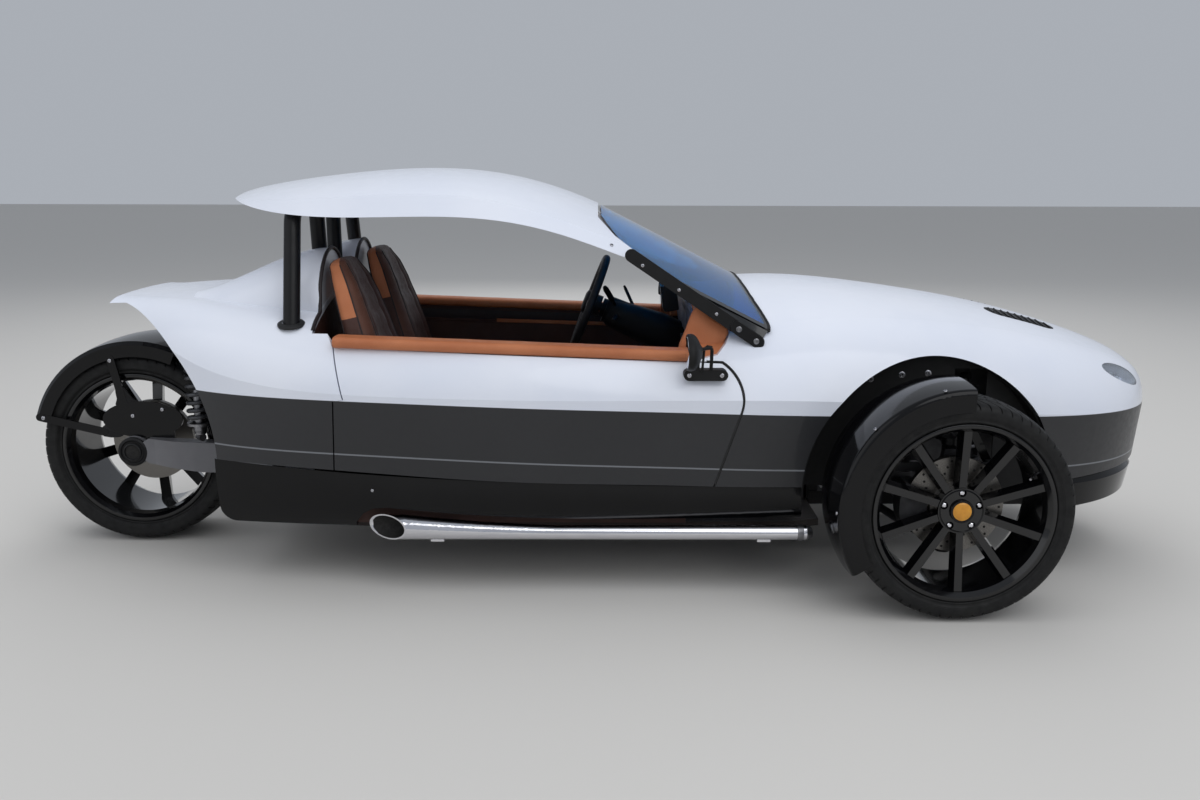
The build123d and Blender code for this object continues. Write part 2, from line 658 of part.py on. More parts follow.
# Arch liners: dark half barrels closed by an inner wall with a slot for the arms
LINER_T = 6
with BuildPart() as arch_liners:
    for side, s in SIDES:
        with BuildPart(mode=Mode.PRIVATE) as liner:
            with BuildSketch(side_plane(s * ARCH_INNER_Y)):
                with Locations((ARCH_X, ARCH_Z)):
                    Circle(ARCH_R - 1)
            extrude(amount=-s * 200)
            with BuildSketch(side_plane(s * (ARCH_INNER_Y + LINER_T))):
                with Locations((ARCH_X, ARCH_Z)):
                    Circle(ARCH_R - 1 - LINER_T)
            extrude(amount=-s * 200, mode=Mode.SUBTRACT)
            with Locations((FRONT_AXLE_X, s * ARCH_INNER_Y, 200)):
                Box(420, 40, 640, mode=Mode.SUBTRACT)
            with Locations((SHOCK_X, s * ARCH_INNER_Y, 560)):
                Box(100, 40, 200, mode=Mode.SUBTRACT)
            with Locations((ARCH_X, s * 500, 0)):
                Box(1000, 300, 2 * 235, mode=Mode.SUBTRACT)
        add(liner.part & body_inside)
save(arch_liners, "arch_liners")

# Floor: one pan from the foot well to the tail, with the tunnel and the foot well's walls
FOOT_WELL_X = -330
JACK_X = -620
FLOOR_REAR_X = -2150
with BuildPart() as floor_pan:
    with BuildSketch(Plane.XY.offset(FLOOR_Z)):
        with BuildLine():
            Polyline(
                (x_at(FOOT_WELL_X), -470), (x_at(-420), -500), (x_at(-1500), -520), (x_at(FLOOR_REAR_X), -425),
                (x_at(FLOOR_REAR_X), 425), (x_at(-1500), 520), (x_at(-420), 500), (x_at(FOOT_WELL_X), 470),
                close=True,
            )
        make_face()
    extrude(amount=FLOOR_T)
    add(block((x_at(FOOT_WELL_X), -250, FLOOR_Z), (x_at(FOOT_WELL_X - 14), 250, 700)))
    add(block((x_at(-700), -62, FLOOR_Z), (x_at(-1860), 62, 360)))
    for s in (-1, 1):
        add(block((x_at(JACK_X - 50), s * 400, FLOOR_Z - 8), (x_at(JACK_X + 50), s * 460, FLOOR_Z)))
save(floor_pan, "floor_pan")

# Inner walls: the panel behind the seats and the wheel well's dark panel in the tail
with BuildPart() as rear_bulkhead:
    add(block((COCKPIT_REAR_X - 1, -620, 400), (COCKPIT_REAR_X - 19, 620, 900)))
    add(body_inside, mode=Mode.INTERSECT)
    add(block((COCKPIT_REAR_X - 1, -455, FLOOR_Z + FLOOR_T), (COCKPIT_REAR_X - 19, 455, 400)))
save(rear_bulkhead, "rear_bulkhead")

# Dashboard: a rolled face across the car under the scuttle, with a hole for the column
DASH_X = x_at(-700)
DASH_HALF_W = 455
WHEEL_HUB = Vector(x_at(-1049), 270, 781)
WHEEL_TILT = 21
COLUMN = Vector(cos(radians(WHEEL_TILT)), 0, -sin(radians(WHEEL_TILT)))
COLUMN_R = 34
with BuildPart() as dashboard:
    with BuildSketch(side_plane(-DASH_HALF_W)):
        with BuildLine():
            front = Polyline(
                (DASH_X + 110, 640), (DASH_X + 110, 900), (DASH_X + 20, 900), (DASH_X - 12, 846),
            )
            brow = TangentArc(front @ 1, (DASH_X - 30, 820), tangent=(-1, -0.4))
            Polyline(brow @ 1, (DASH_X - 12, 700), (DASH_X + 20, 640), front @ 0)
        make_face()
    extrude(amount=-2 * DASH_HALF_W)
    add(body_inside, mode=Mode.INTERSECT)
    add(rod(WHEEL_HUB, WHEEL_HUB + COLUMN * 480, COLUMN_R + FIT), mode=Mode.SUBTRACT)
save(dashboard, "dashboard")

# Steering column and wheel, in front of the left seat
WHEEL_R = 184
with BuildPart() as steering_column:
    add(rod(WHEEL_HUB + COLUMN * 46, WHEEL_HUB + COLUMN * 400, COLUMN_R))
    add(rod(WHEEL_HUB + COLUMN * 60, WHEEL_HUB + COLUMN * 200, 50))
    for s in (-1, 1):
        start = WHEEL_HUB + COLUMN * 110
        add(rod(start, start + Vector(-20, s * 150, -10), 7))
    add(rod(WHEEL_HUB + COLUMN * 40, WHEEL_HUB + COLUMN * 120, 16 + FIT), mode=Mode.SUBTRACT)
save(steering_column, "steering_column")

wheel_face = Plane(origin=WHEEL_HUB, x_dir=(0, 1, 0), z_dir=-COLUMN)
with BuildPart() as steering_wheel:
    add(Solid.make_torus(WHEEL_R - 14, 14, wheel_face))
    for angle in (0, 180, 270):
        with BuildSketch(wheel_face.offset(-7)):
            with PolarLocations((WHEEL_R - 14) / 2, 1, start_angle=angle):
                Rectangle(WHEEL_R - 14, 30)
        extrude(amount=8)
    add(rod(WHEEL_HUB - COLUMN * 12, WHEEL_HUB + COLUMN * 40, 38))
    add(rod(WHEEL_HUB + COLUMN * 30, WHEEL_HUB + COLUMN * 110, 16))
save(steering_wheel, "steering_wheel")

# Seats: a bucket each side of the tunnel, cushion and back
SEAT_Y = 285
SEAT_HALF_W = 205
SEAT_BACK = [
    # height up the back, half width, thickness
    (0, 200, 112),
    (230, 215, 118),
    (450, 195, 100),
    (668, 118, 66),
]
CUSHION_REAR = (-1650, 322)
BACK_FOOT_X = -1640
BACK_LEAN = Vector(-150, 0, 640)
for side, s in SIDES:
    with BuildPart() as cushion:
        with BuildSketch(side_plane(s * SEAT_Y - SEAT_HALF_W)):
            with BuildLine():
                floor_z = FLOOR_Z + FLOOR_T + FIT
                sole = Polyline((x_at(-1690), floor_z), (x_at(-1180), floor_z), (x_at(-1150), 330))
                lip = TangentArc(sole @ 1, (x_at(-1200), 368), tangent=(0, 1))
                Polyline(lip @ 1, (x_at(CUSHION_REAR[0]), CUSHION_REAR[1]), sole @ 0)
            make_face()
        extrude(amount=-2 * SEAT_HALF_W)
    save(cushion, f"{side}_seat_cushion")

    lean = BACK_LEAN.normalized()
    foot_z = CUSHION_REAR[1] + (BACK_FOOT_X - CUSHION_REAR[0]) * -BACK_LEAN.X / BACK_LEAN.Z + FIT
    foot = Vector(x_at(BACK_FOOT_X), s * SEAT_Y, foot_z)
    with BuildPart() as back:
        for up, half_w, thick in SEAT_BACK:
            with BuildSketch(Plane(origin=foot + lean * up, x_dir=(0, 1, 0), z_dir=lean)):
                with Locations((0, -thick / 2 + 60)):
                    RectangleRounded(2 * half_w, thick, thick * 0.42)
        loft()
    save(back, f"{side}_seat_back")

# Bolsters: tan pads along the tops of the side walls, and the cheeks at the dashboard's ends
BOLSTER_Y = 562
BOLSTER_W = 86
BOLSTER_H = 34
with BuildPart() as bolsters:
    for side, s in SIDES:
        wall_rear = Vector(x_at(REAR_SEAM[2][0]), 0, REAR_SEAM[2][1])
        wall_front = Vector(x_at(OPENING_EDGE[-1][0]) - SEAM, 0, OPENING_EDGE[-1][1] - SEAM)
        run = wall_front - wall_rear
        start = Vector(wall_rear.X + 2, s * BOLSTER_Y, wall_rear.Z + BOLSTER_H / 2 + 1)
        with BuildSketch(Plane(origin=start, x_dir=(0, 1, 0), z_dir=run)):
            RectangleRounded(BOLSTER_W, BOLSTER_H, BOLSTER_H * 0.45)
        extrude(amount=run.length - 4)
        cheek = block(
            (wall_front.X + FIT, s * (DASH_HALF_W + FIT), wall_front.Z + SEAM),
            (x_at(-600), s * 600, 880),
        )
        add(body_inside & cheek)
save(bolsters, "bolsters")

# Roof: a white hard cap with rolled sides, blade thin at its rear edge
ROOF_T = 12
ROOF_SECTIONS = [
    # x from the front axle, crown z, crease y, crease z, hem y, hem z
    (-2160, 1190, 225, 1170, 245, 1165),
    (-2000, 1223, 400, 1162, 430, 1130),
    (-1620, 1260, 455, 1182, 500, 1118),
    (-1250, 1226, 462, 1146, 508, 1098),
    (-1020, 1147, 470, 1070, 512, 1032),
    (-905, 1094, 474, 1028, 514, 990),
]
ROOF_FRONT = [(-1020, 1300), (-1020, 1112), (-968, 1060), (-917, 1024), (-944, 1003), (-960, 900)]


def roof_loft(inset):
    with BuildPart() as cap:
        for x, zc, yc, zr, yh, zh in ROOF_SECTIONS:
            with BuildSketch(Plane.YZ.offset(x_at(x))):
                with BuildLine():
                    crown = TangentArc((0, zc - inset), (yc - inset * 0.5, zr - inset), tangent=(1, 0))
                    Polyline(crown @ 1, (yh - inset, zh - 3 * inset), (0, zh - 3 * inset - 1))
                    mirror(about=Plane.YZ)
                make_face()
        loft(ruled=False)
    return cap.part


roof_form = roof_loft(0)
with BuildPart() as roof_cap:
    add(roof_form)
    add(roof_loft(ROOF_T), mode=Mode.SUBTRACT)
    extrude(side_face([(-2300, 1300)] + ROOF_FRONT + [(-2300, 900)]), amount=700, both=True, mode=Mode.INTERSECT)
save(roof_cap, "roof_cap")

# Windscreen: one curved pane between two side rails, with its lower seal
GLASS_FOOT = Vector(x_at(-572), 0, 911)
GLASS_TOP = Vector(x_at(-1015), 0, 1136)
GLASS_HALF_W = 528
GLASS_SAG = 92
GLASS_T = 6
rake = GLASS_TOP - GLASS_FOOT
glass_plane = Plane(origin=GLASS_FOOT, x_dir=(0, 1, 0), z_dir=rake)
with BuildPart() as windscreen:
    with BuildSketch(glass_plane):
        with BuildLine():
            lower = ThreePointArc((-GLASS_HALF_W, GLASS_SAG), (0, 0), (GLASS_HALF_W, GLASS_SAG))
            offset(amount=GLASS_T, side=Side.LEFT)
        make_face()
    extrude(amount=rake.length + 20)
    with BuildSketch(glass_plane):
        with BuildLine():
            lower = ThreePointArc((-GLASS_HALF_W, GLASS_SAG), (0, 0), (GLASS_HALF_W, GLASS_SAG))
            offset(amount=GLASS_T, side=Side.LEFT)
        make_face()
    extrude(amount=-110)
    add(body_form, mode=Mode.SUBTRACT)
    add(roof_form, mode=Mode.SUBTRACT)
save(windscreen, "windscreen")

# Windscreen frame: the raked side rails with rounded lower ends, and the seal along the cowl
RAIL_LOW = Vector(x_at(-546), 0, 757)
RAIL_TOP = Vector(x_at(-922), 0, 1010)
RAIL_W = 38
RAIL_T = 16
with BuildPart() as windscreen_frame:
    for side, s in SIDES:
        rail_run = RAIL_TOP - RAIL_LOW
        middle = (RAIL_LOW + RAIL_TOP) * 0.5
        with BuildSketch(side_plane(s * (GLASS_HALF_W + 4))):
            with Locations((middle.X, middle.Z)):
                SlotOverall(rail_run.length + RAIL_W, RAIL_W, rotation=degrees(atan2(rail_run.Z, rail_run.X)))
        extrude(amount=-s * RAIL_T)
    add(body_form, mode=Mode.SUBTRACT)
    add(roof_form, mode=Mode.SUBTRACT)
save(windscreen_frame, "windscreen_frame")

# Roll hoops: one bent tube behind each seat, its feet on the body's shoulders
HOOP_R = 25
HOOP_X_FOOT = x_at(-1934)
HOOP_X_TOP = x_at(-1940)
for side, s in SIDES:
    with BuildPart() as roll_hoop:
        with BuildLine() as path:
            FilletPolyline(
                (HOOP_X_FOOT, s * 506, 776),
                (HOOP_X_TOP, s * 405, 1132),
                (HOOP_X_TOP, s * 118, 1158),
                (HOOP_X_FOOT, s * 100, 880),
                radius=60,
            )
        with BuildSketch(Plane(origin=path.line @ 0, z_dir=path.line % 0)):
            Circle(HOOP_R)
        sweep(path=path.line)
        add(body_form, mode=Mode.SUBTRACT)
        add(roof_cap.part, mode=Mode.SUBTRACT)
        for fairing_form in fairings:
            add(fairing_form, mode=Mode.SUBTRACT)
    save(roll_hoop, f"{side}_roll_hoop")

# Mirrors: a teardrop head seen edge on, a loop bracket and an oval foot on the wall's top
MIRROR_FOOT_X = x_at(-708)
MIRROR_FOOT_Z = 675
MIRROR_FOOT_Y = 652
MIRROR_HEAD_X = x_at(-768)
MIRROR_HEAD_Z = 750
MIRROR_HEAD_Y = 702
MIRROR_HEAD = [
    # x back from the head's face, half width, half height
    (0, 76, 50),
    (14, 78, 52),
    (30, 58, 38),
    (42, 22, 16),
]
with BuildPart() as mirrors:
    for side, s in SIDES:
        with BuildSketch(side_plane(s * MIRROR_FOOT_Y)):
            with Locations((MIRROR_FOOT_X, MIRROR_FOOT_Z)):
                SlotOverall(128, 32)
        extrude(amount=s * 40)
        add(body_form, mode=Mode.SUBTRACT)
        for dx in (-24, 14):
            with BuildLine() as bracket:
                FilletPolyline(
                    (MIRROR_FOOT_X + dx, s * (MIRROR_FOOT_Y - 6), MIRROR_FOOT_Z + 4),
                    (MIRROR_FOOT_X + dx, s * (MIRROR_FOOT_Y + 16), MIRROR_FOOT_Z + 84),
                    (MIRROR_HEAD_X + 34, s * MIRROR_HEAD_Y, MIRROR_HEAD_Z + 8),
                    radius=14,
                )
            with BuildSketch(Plane(origin=bracket.line @ 0, z_dir=bracket.line % 0)):
                Circle(5)
            sweep(path=bracket.line)
        for back, half_w, half_h in MIRROR_HEAD:
            head = (MIRROR_HEAD_X + back, s * MIRROR_HEAD_Y, MIRROR_HEAD_Z)
            with BuildSketch(Plane(origin=head, x_dir=(0, 1, 0), z_dir=(1, 0, 0))):
                Ellipse(half_w, half_h)
        loft()
save(mirrors, "mirrors")

# Exhausts: a polished pipe under each skirt that widens into a slash-cut tip
EXHAUST_Y = 600
EXHAUST_LOW_Z = 164
PIPE_FRONT_X = x_at(-392)
PIPE_R = 22
FLARE = [
    # x from the front axle, radius
    (-1150, PIPE_R),
    (-1380, 28),
    (-1600, 38),
]
TIP_R = FLARE[-1][1]
TIP_Z = EXHAUST_LOW_Z + TIP_R
TIP_WALL = 4
TIP_INNER_X = x_at(-1712)
TIP_OUTER_X = x_at(-1588)
TIP_BEHIND_X = x_at(-1900)
with BuildPart() as exhausts:
    for side, s in SIDES:
        with BuildPart(mode=Mode.PRIVATE) as pipe:
            for x, radius in FLARE:
                with BuildSketch(Plane.YZ.offset(x_at(x))):
                    with Locations((s * EXHAUST_Y, EXHAUST_LOW_Z + radius)):
                        Circle(radius)
            loft()
        add(pipe.part)
        pipe_end = (x_at(FLARE[0][0]), s * EXHAUST_Y, EXHAUST_LOW_Z + PIPE_R)
        tip_end = (x_at(FLARE[-1][0]), s * EXHAUST_Y, TIP_Z)
        add(rod((PIPE_FRONT_X, s * EXHAUST_Y, EXHAUST_LOW_Z + PIPE_R), pipe_end, PIPE_R))
        add(rod(tip_end, (TIP_INNER_X - 10, s * EXHAUST_Y, TIP_Z), TIP_R))
        for x in (-520, -1500):
            add(block((x_at(x - 20), s * 440, FLOOR_Z - 8), (x_at(x + 20), s * (EXHAUST_Y + 12), FLOOR_Z)))
        with BuildSketch(Plane.XY.offset(100)):
            Polygon(
                (2 * TIP_INNER_X - TIP_OUTER_X, s * (EXHAUST_Y - 3 * TIP_R)),
                (2 * TIP_OUTER_X - TIP_INNER_X, s * (EXHAUST_Y + 3 * TIP_R)),
                (TIP_BEHIND_X, s * (EXHAUST_Y + 3 * TIP_R)),
                (TIP_BEHIND_X, s * (EXHAUST_Y - 3 * TIP_R)),
                align=None,
            )
        extrude(amount=200, mode=Mode.SUBTRACT)
        bore = rod((TIP_BEHIND_X, s * EXHAUST_Y, TIP_Z), (x_at(-1560), s * EXHAUST_Y, TIP_Z), TIP_R - TIP_WALL)
        add(bore, mode=Mode.SUBTRACT)
save(exhausts, "exhausts")

# Rear end: the swing arm with its hub carrier, the coil-over, and the frame they hang from
PIVOT_X = x_at(-2075)
ARM_OUT_Y = -216
ARM_IN_Y = -158
HUB_FACE_Y = -178
HUB_CAP_R = 48
HUB_R = 50
with BuildPart() as swing_arm:
    with BuildSketch(side_plane(0)):
        with BuildLine():
            Polyline(
                (PIVOT_X, 262), (PIVOT_X, 362), (x_at(-2330), 366), (x_at(-2520), 372),
                (x_at(-2585), 330), (x_at(-2520), 288), (x_at(-2330), 266), close=True,
            )
        make_face()
    extrude(amount=300)
    with BuildSketch(Plane.XY):
        with BuildLine():
            outer = Polyline((PIVOT_X, ARM_OUT_Y), (x_at(-2350), ARM_OUT_Y))
            bend = TangentArc(outer @ 1, (x_at(-2500), HUB_FACE_Y - 8), tangent=outer % 1)
            Polyline(bend @ 1, (REAR_AXLE_X, HUB_FACE_Y), (REAR_AXLE_X, ARM_IN_Y), (PIVOT_X, ARM_IN_Y), outer @ 0)
        make_face()
    extrude(amount=500, mode=Mode.INTERSECT)
    hub_rings = [
        # y from, y to, radius
        (HUB_FACE_Y, ARM_IN_Y, HUB_CAP_R),
        (ARM_IN_Y, -WORKING_GAP, HUB_R),
        (-WORKING_GAP, 40, 20),
    ]
    for start, end, radius in hub_rings:
        add(rod((REAR_AXLE_X, start, REAR_TYRE_R), (REAR_AXLE_X, end, REAR_TYRE_R), radius))
save(swing_arm, "swing_arm")

SHOCK_X = x_at(-2338)
SHOCK_Y = -196
SHOCK_FOOT_Z = 367
SHOCK_MOUNT_Z = 702
with BuildPart() as rear_shock:
    foot_eye = (SHOCK_X, SHOCK_Y, SHOCK_FOOT_Z + EYE_END)
    top_eye = (SHOCK_X, SHOCK_Y, SHOCK_MOUNT_Z - EYE_END - FIT)
    for piece in coil_over(foot_eye, top_eye, 34, 8, 7):
        add(piece)
save(rear_shock, "rear_shock")

with BuildPart() as rear_frame:
    add(block((x_at(-2030), -300, 190), (PIVOT_X, 300, 420)))
    add(block((PIVOT_X, -150, 240), (x_at(-2120), -120, 400)))
    add(block((x_at(-2060), -260, 420), (PIVOT_X, -150, 730)))
    add(block((PIVOT_X, SHOCK_Y - 30, SHOCK_MOUNT_Z), (x_at(-2360), SHOCK_Y + 30, SHOCK_MOUNT_Z + 22)))
save(rear_frame, "rear_frame")

# Rear fender: a gloss hugger over the rear tyre on two pairs of flat struts
REAR_FENDER_X = REAR_AXLE_X + 12
REAR_FENDER_Z = REAR_TYRE_R + 14
REAR_FENDER_IN_R = REAR_TYRE_R + 24
REAR_FENDER_HALF_W = REAR_TYRE_W / 2 + 14
REAR_FENDER_FROM = 66
REAR_FENDER_TO = 165
with BuildPart() as hugger:
    with BuildSketch(wheel_plane(REAR_FENDER_X, 0, REAR_FENDER_Z)):
        with BuildLine():
            half = REAR_FENDER_HALF_W
            low = REAR_FENDER_IN_R - 48
            top_r = REAR_FENDER_IN_R + 6
            roof_line = ThreePointArc((half - 12, top_r - 2), (0, top_r + 5), (12 - half, top_r - 2))
            Polyline(roof_line @ 1, (-half, top_r - 14), (-half, low), (FENDER_WALL - half, low),
                     (FENDER_WALL - half, REAR_FENDER_IN_R - 10), (half - FENDER_WALL, REAR_FENDER_IN_R - 10),
                     (half - FENDER_WALL, low), (half, low), (half, top_r - 14), roof_line @ 0)
        make_face()
    rear_turn = Axis((REAR_FENDER_X, 0, REAR_FENDER_Z), (0, -1, 0))
    revolve(axis=rear_turn, revolution_arc=REAR_FENDER_TO - REAR_FENDER_FROM)
hugger_part = hugger.part.rotate(rear_turn, REAR_FENDER_FROM - 90)
STRUTS = [
    # x and z of the foot from the axle, x and z of the tip from the axle
    (-26, 150, -62, 312),
    (-100, 62, -312, 112),
]
PLATE_Y = ARM_IN_Y + FIT
PLATE_T = 7
with BuildPart() as rear_fender:
    add(hugger_part)
    with BuildSketch(side_plane(PLATE_Y)):
        for foot_x, foot_z, tip_x, tip_z in STRUTS:
            foot, tip = Vector(foot_x, foot_z), Vector(tip_x, tip_z)
            middle = (foot + tip) * 0.5
            lie = degrees(atan2(tip.Y - foot.Y, tip.X - foot.X))
            with Locations((REAR_AXLE_X + middle.X, REAR_TYRE_R + middle.Y)):
                SlotOverall((tip - foot).length + 26, 26, rotation=lie)
        with Locations((REAR_AXLE_X + 32, REAR_TYRE_R + 106)):
            Ellipse(134, 62)
        with Locations((REAR_AXLE_X + 95, REAR_TYRE_R + 36)):
            Rectangle(80, 60)
        with Locations((REAR_AXLE_X, REAR_TYRE_R)):
            Circle(HUB_R + FIT, mode=Mode.SUBTRACT)
    extrude(amount=-PLATE_T)
save(rear_fender, "rear_fender")

# Grille: an arched frame with upright bars, set back in the mouth of the nose
BAR_PITCH = 19
BARS = 20
BAR_W = 5
CROSS_BARS = 3
CROSS_PITCH = 32
GRILLE_INSET = 8
GRILLE_DEPTH = 16
with BuildPart() as grille:
    with BuildSketch(Plane.YZ.offset(x_at(560))):
        with Locations((0, GRILLE_Z)):
            RectangleRounded(GRILLE_W - 2 * FIT, GRILLE_H - 2 * FIT, GRILLE_CORNER_R - FIT)
            RectangleRounded(GRILLE_W - 24, GRILLE_H - 24, GRILLE_H * 0.38, mode=Mode.SUBTRACT)
    extrude(amount=400)
    with BuildSketch(Plane.YZ.offset(x_at(560))):
        with Locations((0, GRILLE_Z)):
            with GridLocations(BAR_PITCH, 1, BARS, 1):
                Rectangle(BAR_W, GRILLE_H)
            with GridLocations(1, CROSS_PITCH, 1, CROSS_BARS):
                Rectangle(GRILLE_W, BAR_W)
            RectangleRounded(GRILLE_W - 12, GRILLE_H - 12, GRILLE_CORNER_R - 6, mode=Mode.INTERSECT)
    extrude(amount=400)
    add(body_loft(GRILLE_INSET), mode=Mode.INTERSECT)
    add(body_loft(GRILLE_INSET + GRILLE_DEPTH), mode=Mode.SUBTRACT)
save(grille, "grille")

# Bonnet vents: dark slatted inserts
with BuildPart() as bonnet_vents:
    for side, s in SIDES:
        with BuildSketch(Plane.XY.offset(600)):
            with Locations((VENT_X, s * VENT_Y)):
                SlotOverall(VENT_L - 2, VENT_W - 2)
        extrude(amount=400)
    add(body_form, mode=Mode.INTERSECT)
    add(body_inside, mode=Mode.SUBTRACT)
save(bonnet_vents, "bonnet_vents")

# Tail lamps: a slim lens across each side of the tail's edge
with BuildPart() as tail_lamps:
    for side, s in SIDES:
        with BuildSketch(Plane(origin=(TAIL_X, s * 130, 848), x_dir=(0, 1, 0), z_dir=(-1, 0, 0))):
            SlotOverall(180, 11)
        extrude(amount=6)
save(tail_lamps, "tail_lamps")
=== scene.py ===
import json
from math import copysign, cos, pi, radians, sin, sqrt

import bmesh
import bpy
from mathutils import Matrix, Vector
from mathutils.bvhtree import BVHTree


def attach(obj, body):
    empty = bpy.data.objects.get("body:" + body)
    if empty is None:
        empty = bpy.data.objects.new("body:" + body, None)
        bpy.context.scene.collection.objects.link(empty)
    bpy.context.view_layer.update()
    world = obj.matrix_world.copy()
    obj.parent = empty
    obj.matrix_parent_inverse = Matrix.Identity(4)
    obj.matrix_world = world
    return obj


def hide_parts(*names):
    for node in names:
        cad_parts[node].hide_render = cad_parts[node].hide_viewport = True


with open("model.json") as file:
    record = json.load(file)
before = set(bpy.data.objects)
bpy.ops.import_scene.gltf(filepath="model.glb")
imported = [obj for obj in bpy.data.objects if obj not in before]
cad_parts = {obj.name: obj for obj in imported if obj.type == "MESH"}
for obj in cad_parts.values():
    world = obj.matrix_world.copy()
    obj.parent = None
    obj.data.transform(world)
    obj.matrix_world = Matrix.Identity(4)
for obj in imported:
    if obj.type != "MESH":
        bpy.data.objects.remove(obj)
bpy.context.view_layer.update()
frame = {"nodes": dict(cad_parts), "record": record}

# Places that the pieces share, in metres, with x to the front, y to the left and z up
FRONT_AXLE_X = 1.065
REAR_AXLE_X = -1.510
FRONT_WHEEL_Y = 0.7375
FRONT_TYRE_R = 0.320
REAR_TYRE_R = 0.327
SIDES = (("right", -1), ("left", 1))
NODES = frame["nodes"]

# The photograph's camera: beside the car's right side, looking across it and a little down
CAMERA_PLACE = (0.0435, -3.8265, 1.2474)
CAMERA_YAW = 0.00259
CAMERA_PITCH = 0.20033
CAMERA_ROLL = 0.00252
CAMERA_LENS = 33.624
CAMERA_SENSOR = 36.0


def x_at(from_front_axle):
    """x in the row frame of a place measured from the front axle."""
    return FRONT_AXLE_X + from_front_axle


def make_camera():
    data = bpy.data.cameras.new("camera")
    data.lens = CAMERA_LENS
    data.sensor_width = CAMERA_SENSOR
    camera = bpy.data.objects.new("camera", data)
    bpy.context.scene.collection.objects.link(camera)
    upright = Matrix.Rotation(pi / 2 - CAMERA_PITCH, 4, "X")
    turn = Matrix.Rotation(-CAMERA_YAW, 4, "Z")
    roll = Matrix.Rotation(CAMERA_ROLL, 4, "Z")
    camera.matrix_world = Matrix.Translation(CAMERA_PLACE) @ turn @ upright @ roll
    bpy.context.scene.camera = camera


make_camera()

# Materials: tables of colours from 0 to 255 and values, which the finishes below take
PLAIN = [
    # name, colour, its second shade, scale of the drift, roughness, grain's scale and depth
    ("gloss_black", (7, 7, 9), (11, 11, 13), 6.0, (0.08, 0.14), (900.0, 0.00001)),
    ("rim_black", (6, 6, 8), (10, 10, 12), 9.0, (0.10, 0.16), (900.0, 0.00001)),
    ("black_plastic", (14, 14, 15), (19, 19, 20), 18.0, (0.5, 0.62), (1400.0, 0.00012)),
    ("black_metal", (13, 13, 15), (18, 18, 20), 12.0, (0.3, 0.42), (1100.0, 0.00008)),
    ("arm_metal", (98, 98, 102), (106, 106, 110), 10.0, (0.34, 0.45), (900.0, 0.00006)),
    ("spring_black", (62, 63, 67), (76, 77, 81), 25.0, (0.28, 0.38), (900.0, 0.00006)),
    ("cast", (50, 50, 52), (64, 64, 66), 30.0, (0.5, 0.66), (420.0, 0.0006)),
    ("engine", (88, 88, 90), (104, 104, 106), 20.0, (0.45, 0.6), (350.0, 0.0006)),
    ("dark_bolt", (30, 30, 32), (44, 44, 46), 60.0, (0.28, 0.4), (1500.0, 0.00005)),
    ("dark_thread", (52, 34, 28), (40, 26, 22), 400.0, (0.6, 0.8), (3000.0, 0.0002)),
    ("rubber", (14, 14, 15), (20, 20, 21), 30.0, (0.5, 0.7), (900.0, 0.0001)),
    ("carpet", (30, 22, 20), (42, 30, 27), 160.0, (0.85, 0.95), (1300.0, 0.0015)),
    ("dash_grey", (98, 102, 116), (106, 110, 124), 20.0, (0.4, 0.52), (1500.0, 0.0001)),
    ("cap_yellow", (214, 150, 40), (196, 130, 30), 40.0, (0.3, 0.42), (900.0, 0.00004)),
    ("frit", (10, 12, 16), (14, 16, 20), 30.0, (0.15, 0.25), None),
    # lamp_white: painted reflection, a white that stands in for the headlamps' bright shine
    ("lamp_white", (236, 238, 242), (226, 230, 236), 60.0, (0.2, 0.3), (900.0, 0.00002)),
    # Soot in the exhaust's bore, and painted shade: the dark dots that stand for the disc's drilled holes
    ("soot", (16, 15, 15), (26, 24, 23), 60.0, (0.7, 0.9), (700.0, 0.0005)),
]
METALS = [
    # name, colour, its second shade, roughness, stretch of the streaks
    ("steel", (150, 150, 152), (120, 120, 124), (0.28, 0.42), (1, 12, 1)),
    ("disc_steel", (140, 138, 134), (96, 92, 88), (0.3, 0.45), (8, 1, 8)),
    ("chrome", (226, 226, 230), (214, 214, 220), (0.07, 0.13), (0.3, 3, 3)),
    ("bolt_steel", (196, 196, 200), (160, 160, 166), (0.18, 0.3), (4, 4, 4)),
    ("mirror_glass", (220, 224, 230), (214, 218, 226), (0.02, 0.05), (1, 1, 1)),
    ("lamp_silver", (210, 210, 214), (180, 180, 186), (0.12, 0.2), (2, 2, 2)),
]
LEATHERS = [
    # name, colour, its second shade, roughness
    ("leather_black", (24, 24, 26), (30, 30, 32), (0.4, 0.55)),
    ("leather_tan", (196, 122, 80), (182, 108, 68), (0.42, 0.6)),
    ("leather_brown", (70, 40, 32), (60, 34, 27), (0.42, 0.6)),
    ("leather_dark", (40, 30, 32), (32, 25, 27), (0.42, 0.6)),
    ("leather_mid", (96, 58, 42), (84, 50, 36), (0.42, 0.6)),
]
CLEAR = [
    # name, colour, its second shade, roughness
    ("glass", (36, 146, 214), (26, 124, 204), (0.01, 0.02)),
    ("lens", (236, 242, 250), (226, 234, 246), (0.02, 0.05)),
    ("red_lens", (170, 16, 18), (140, 10, 12), (0.05, 0.12)),
]
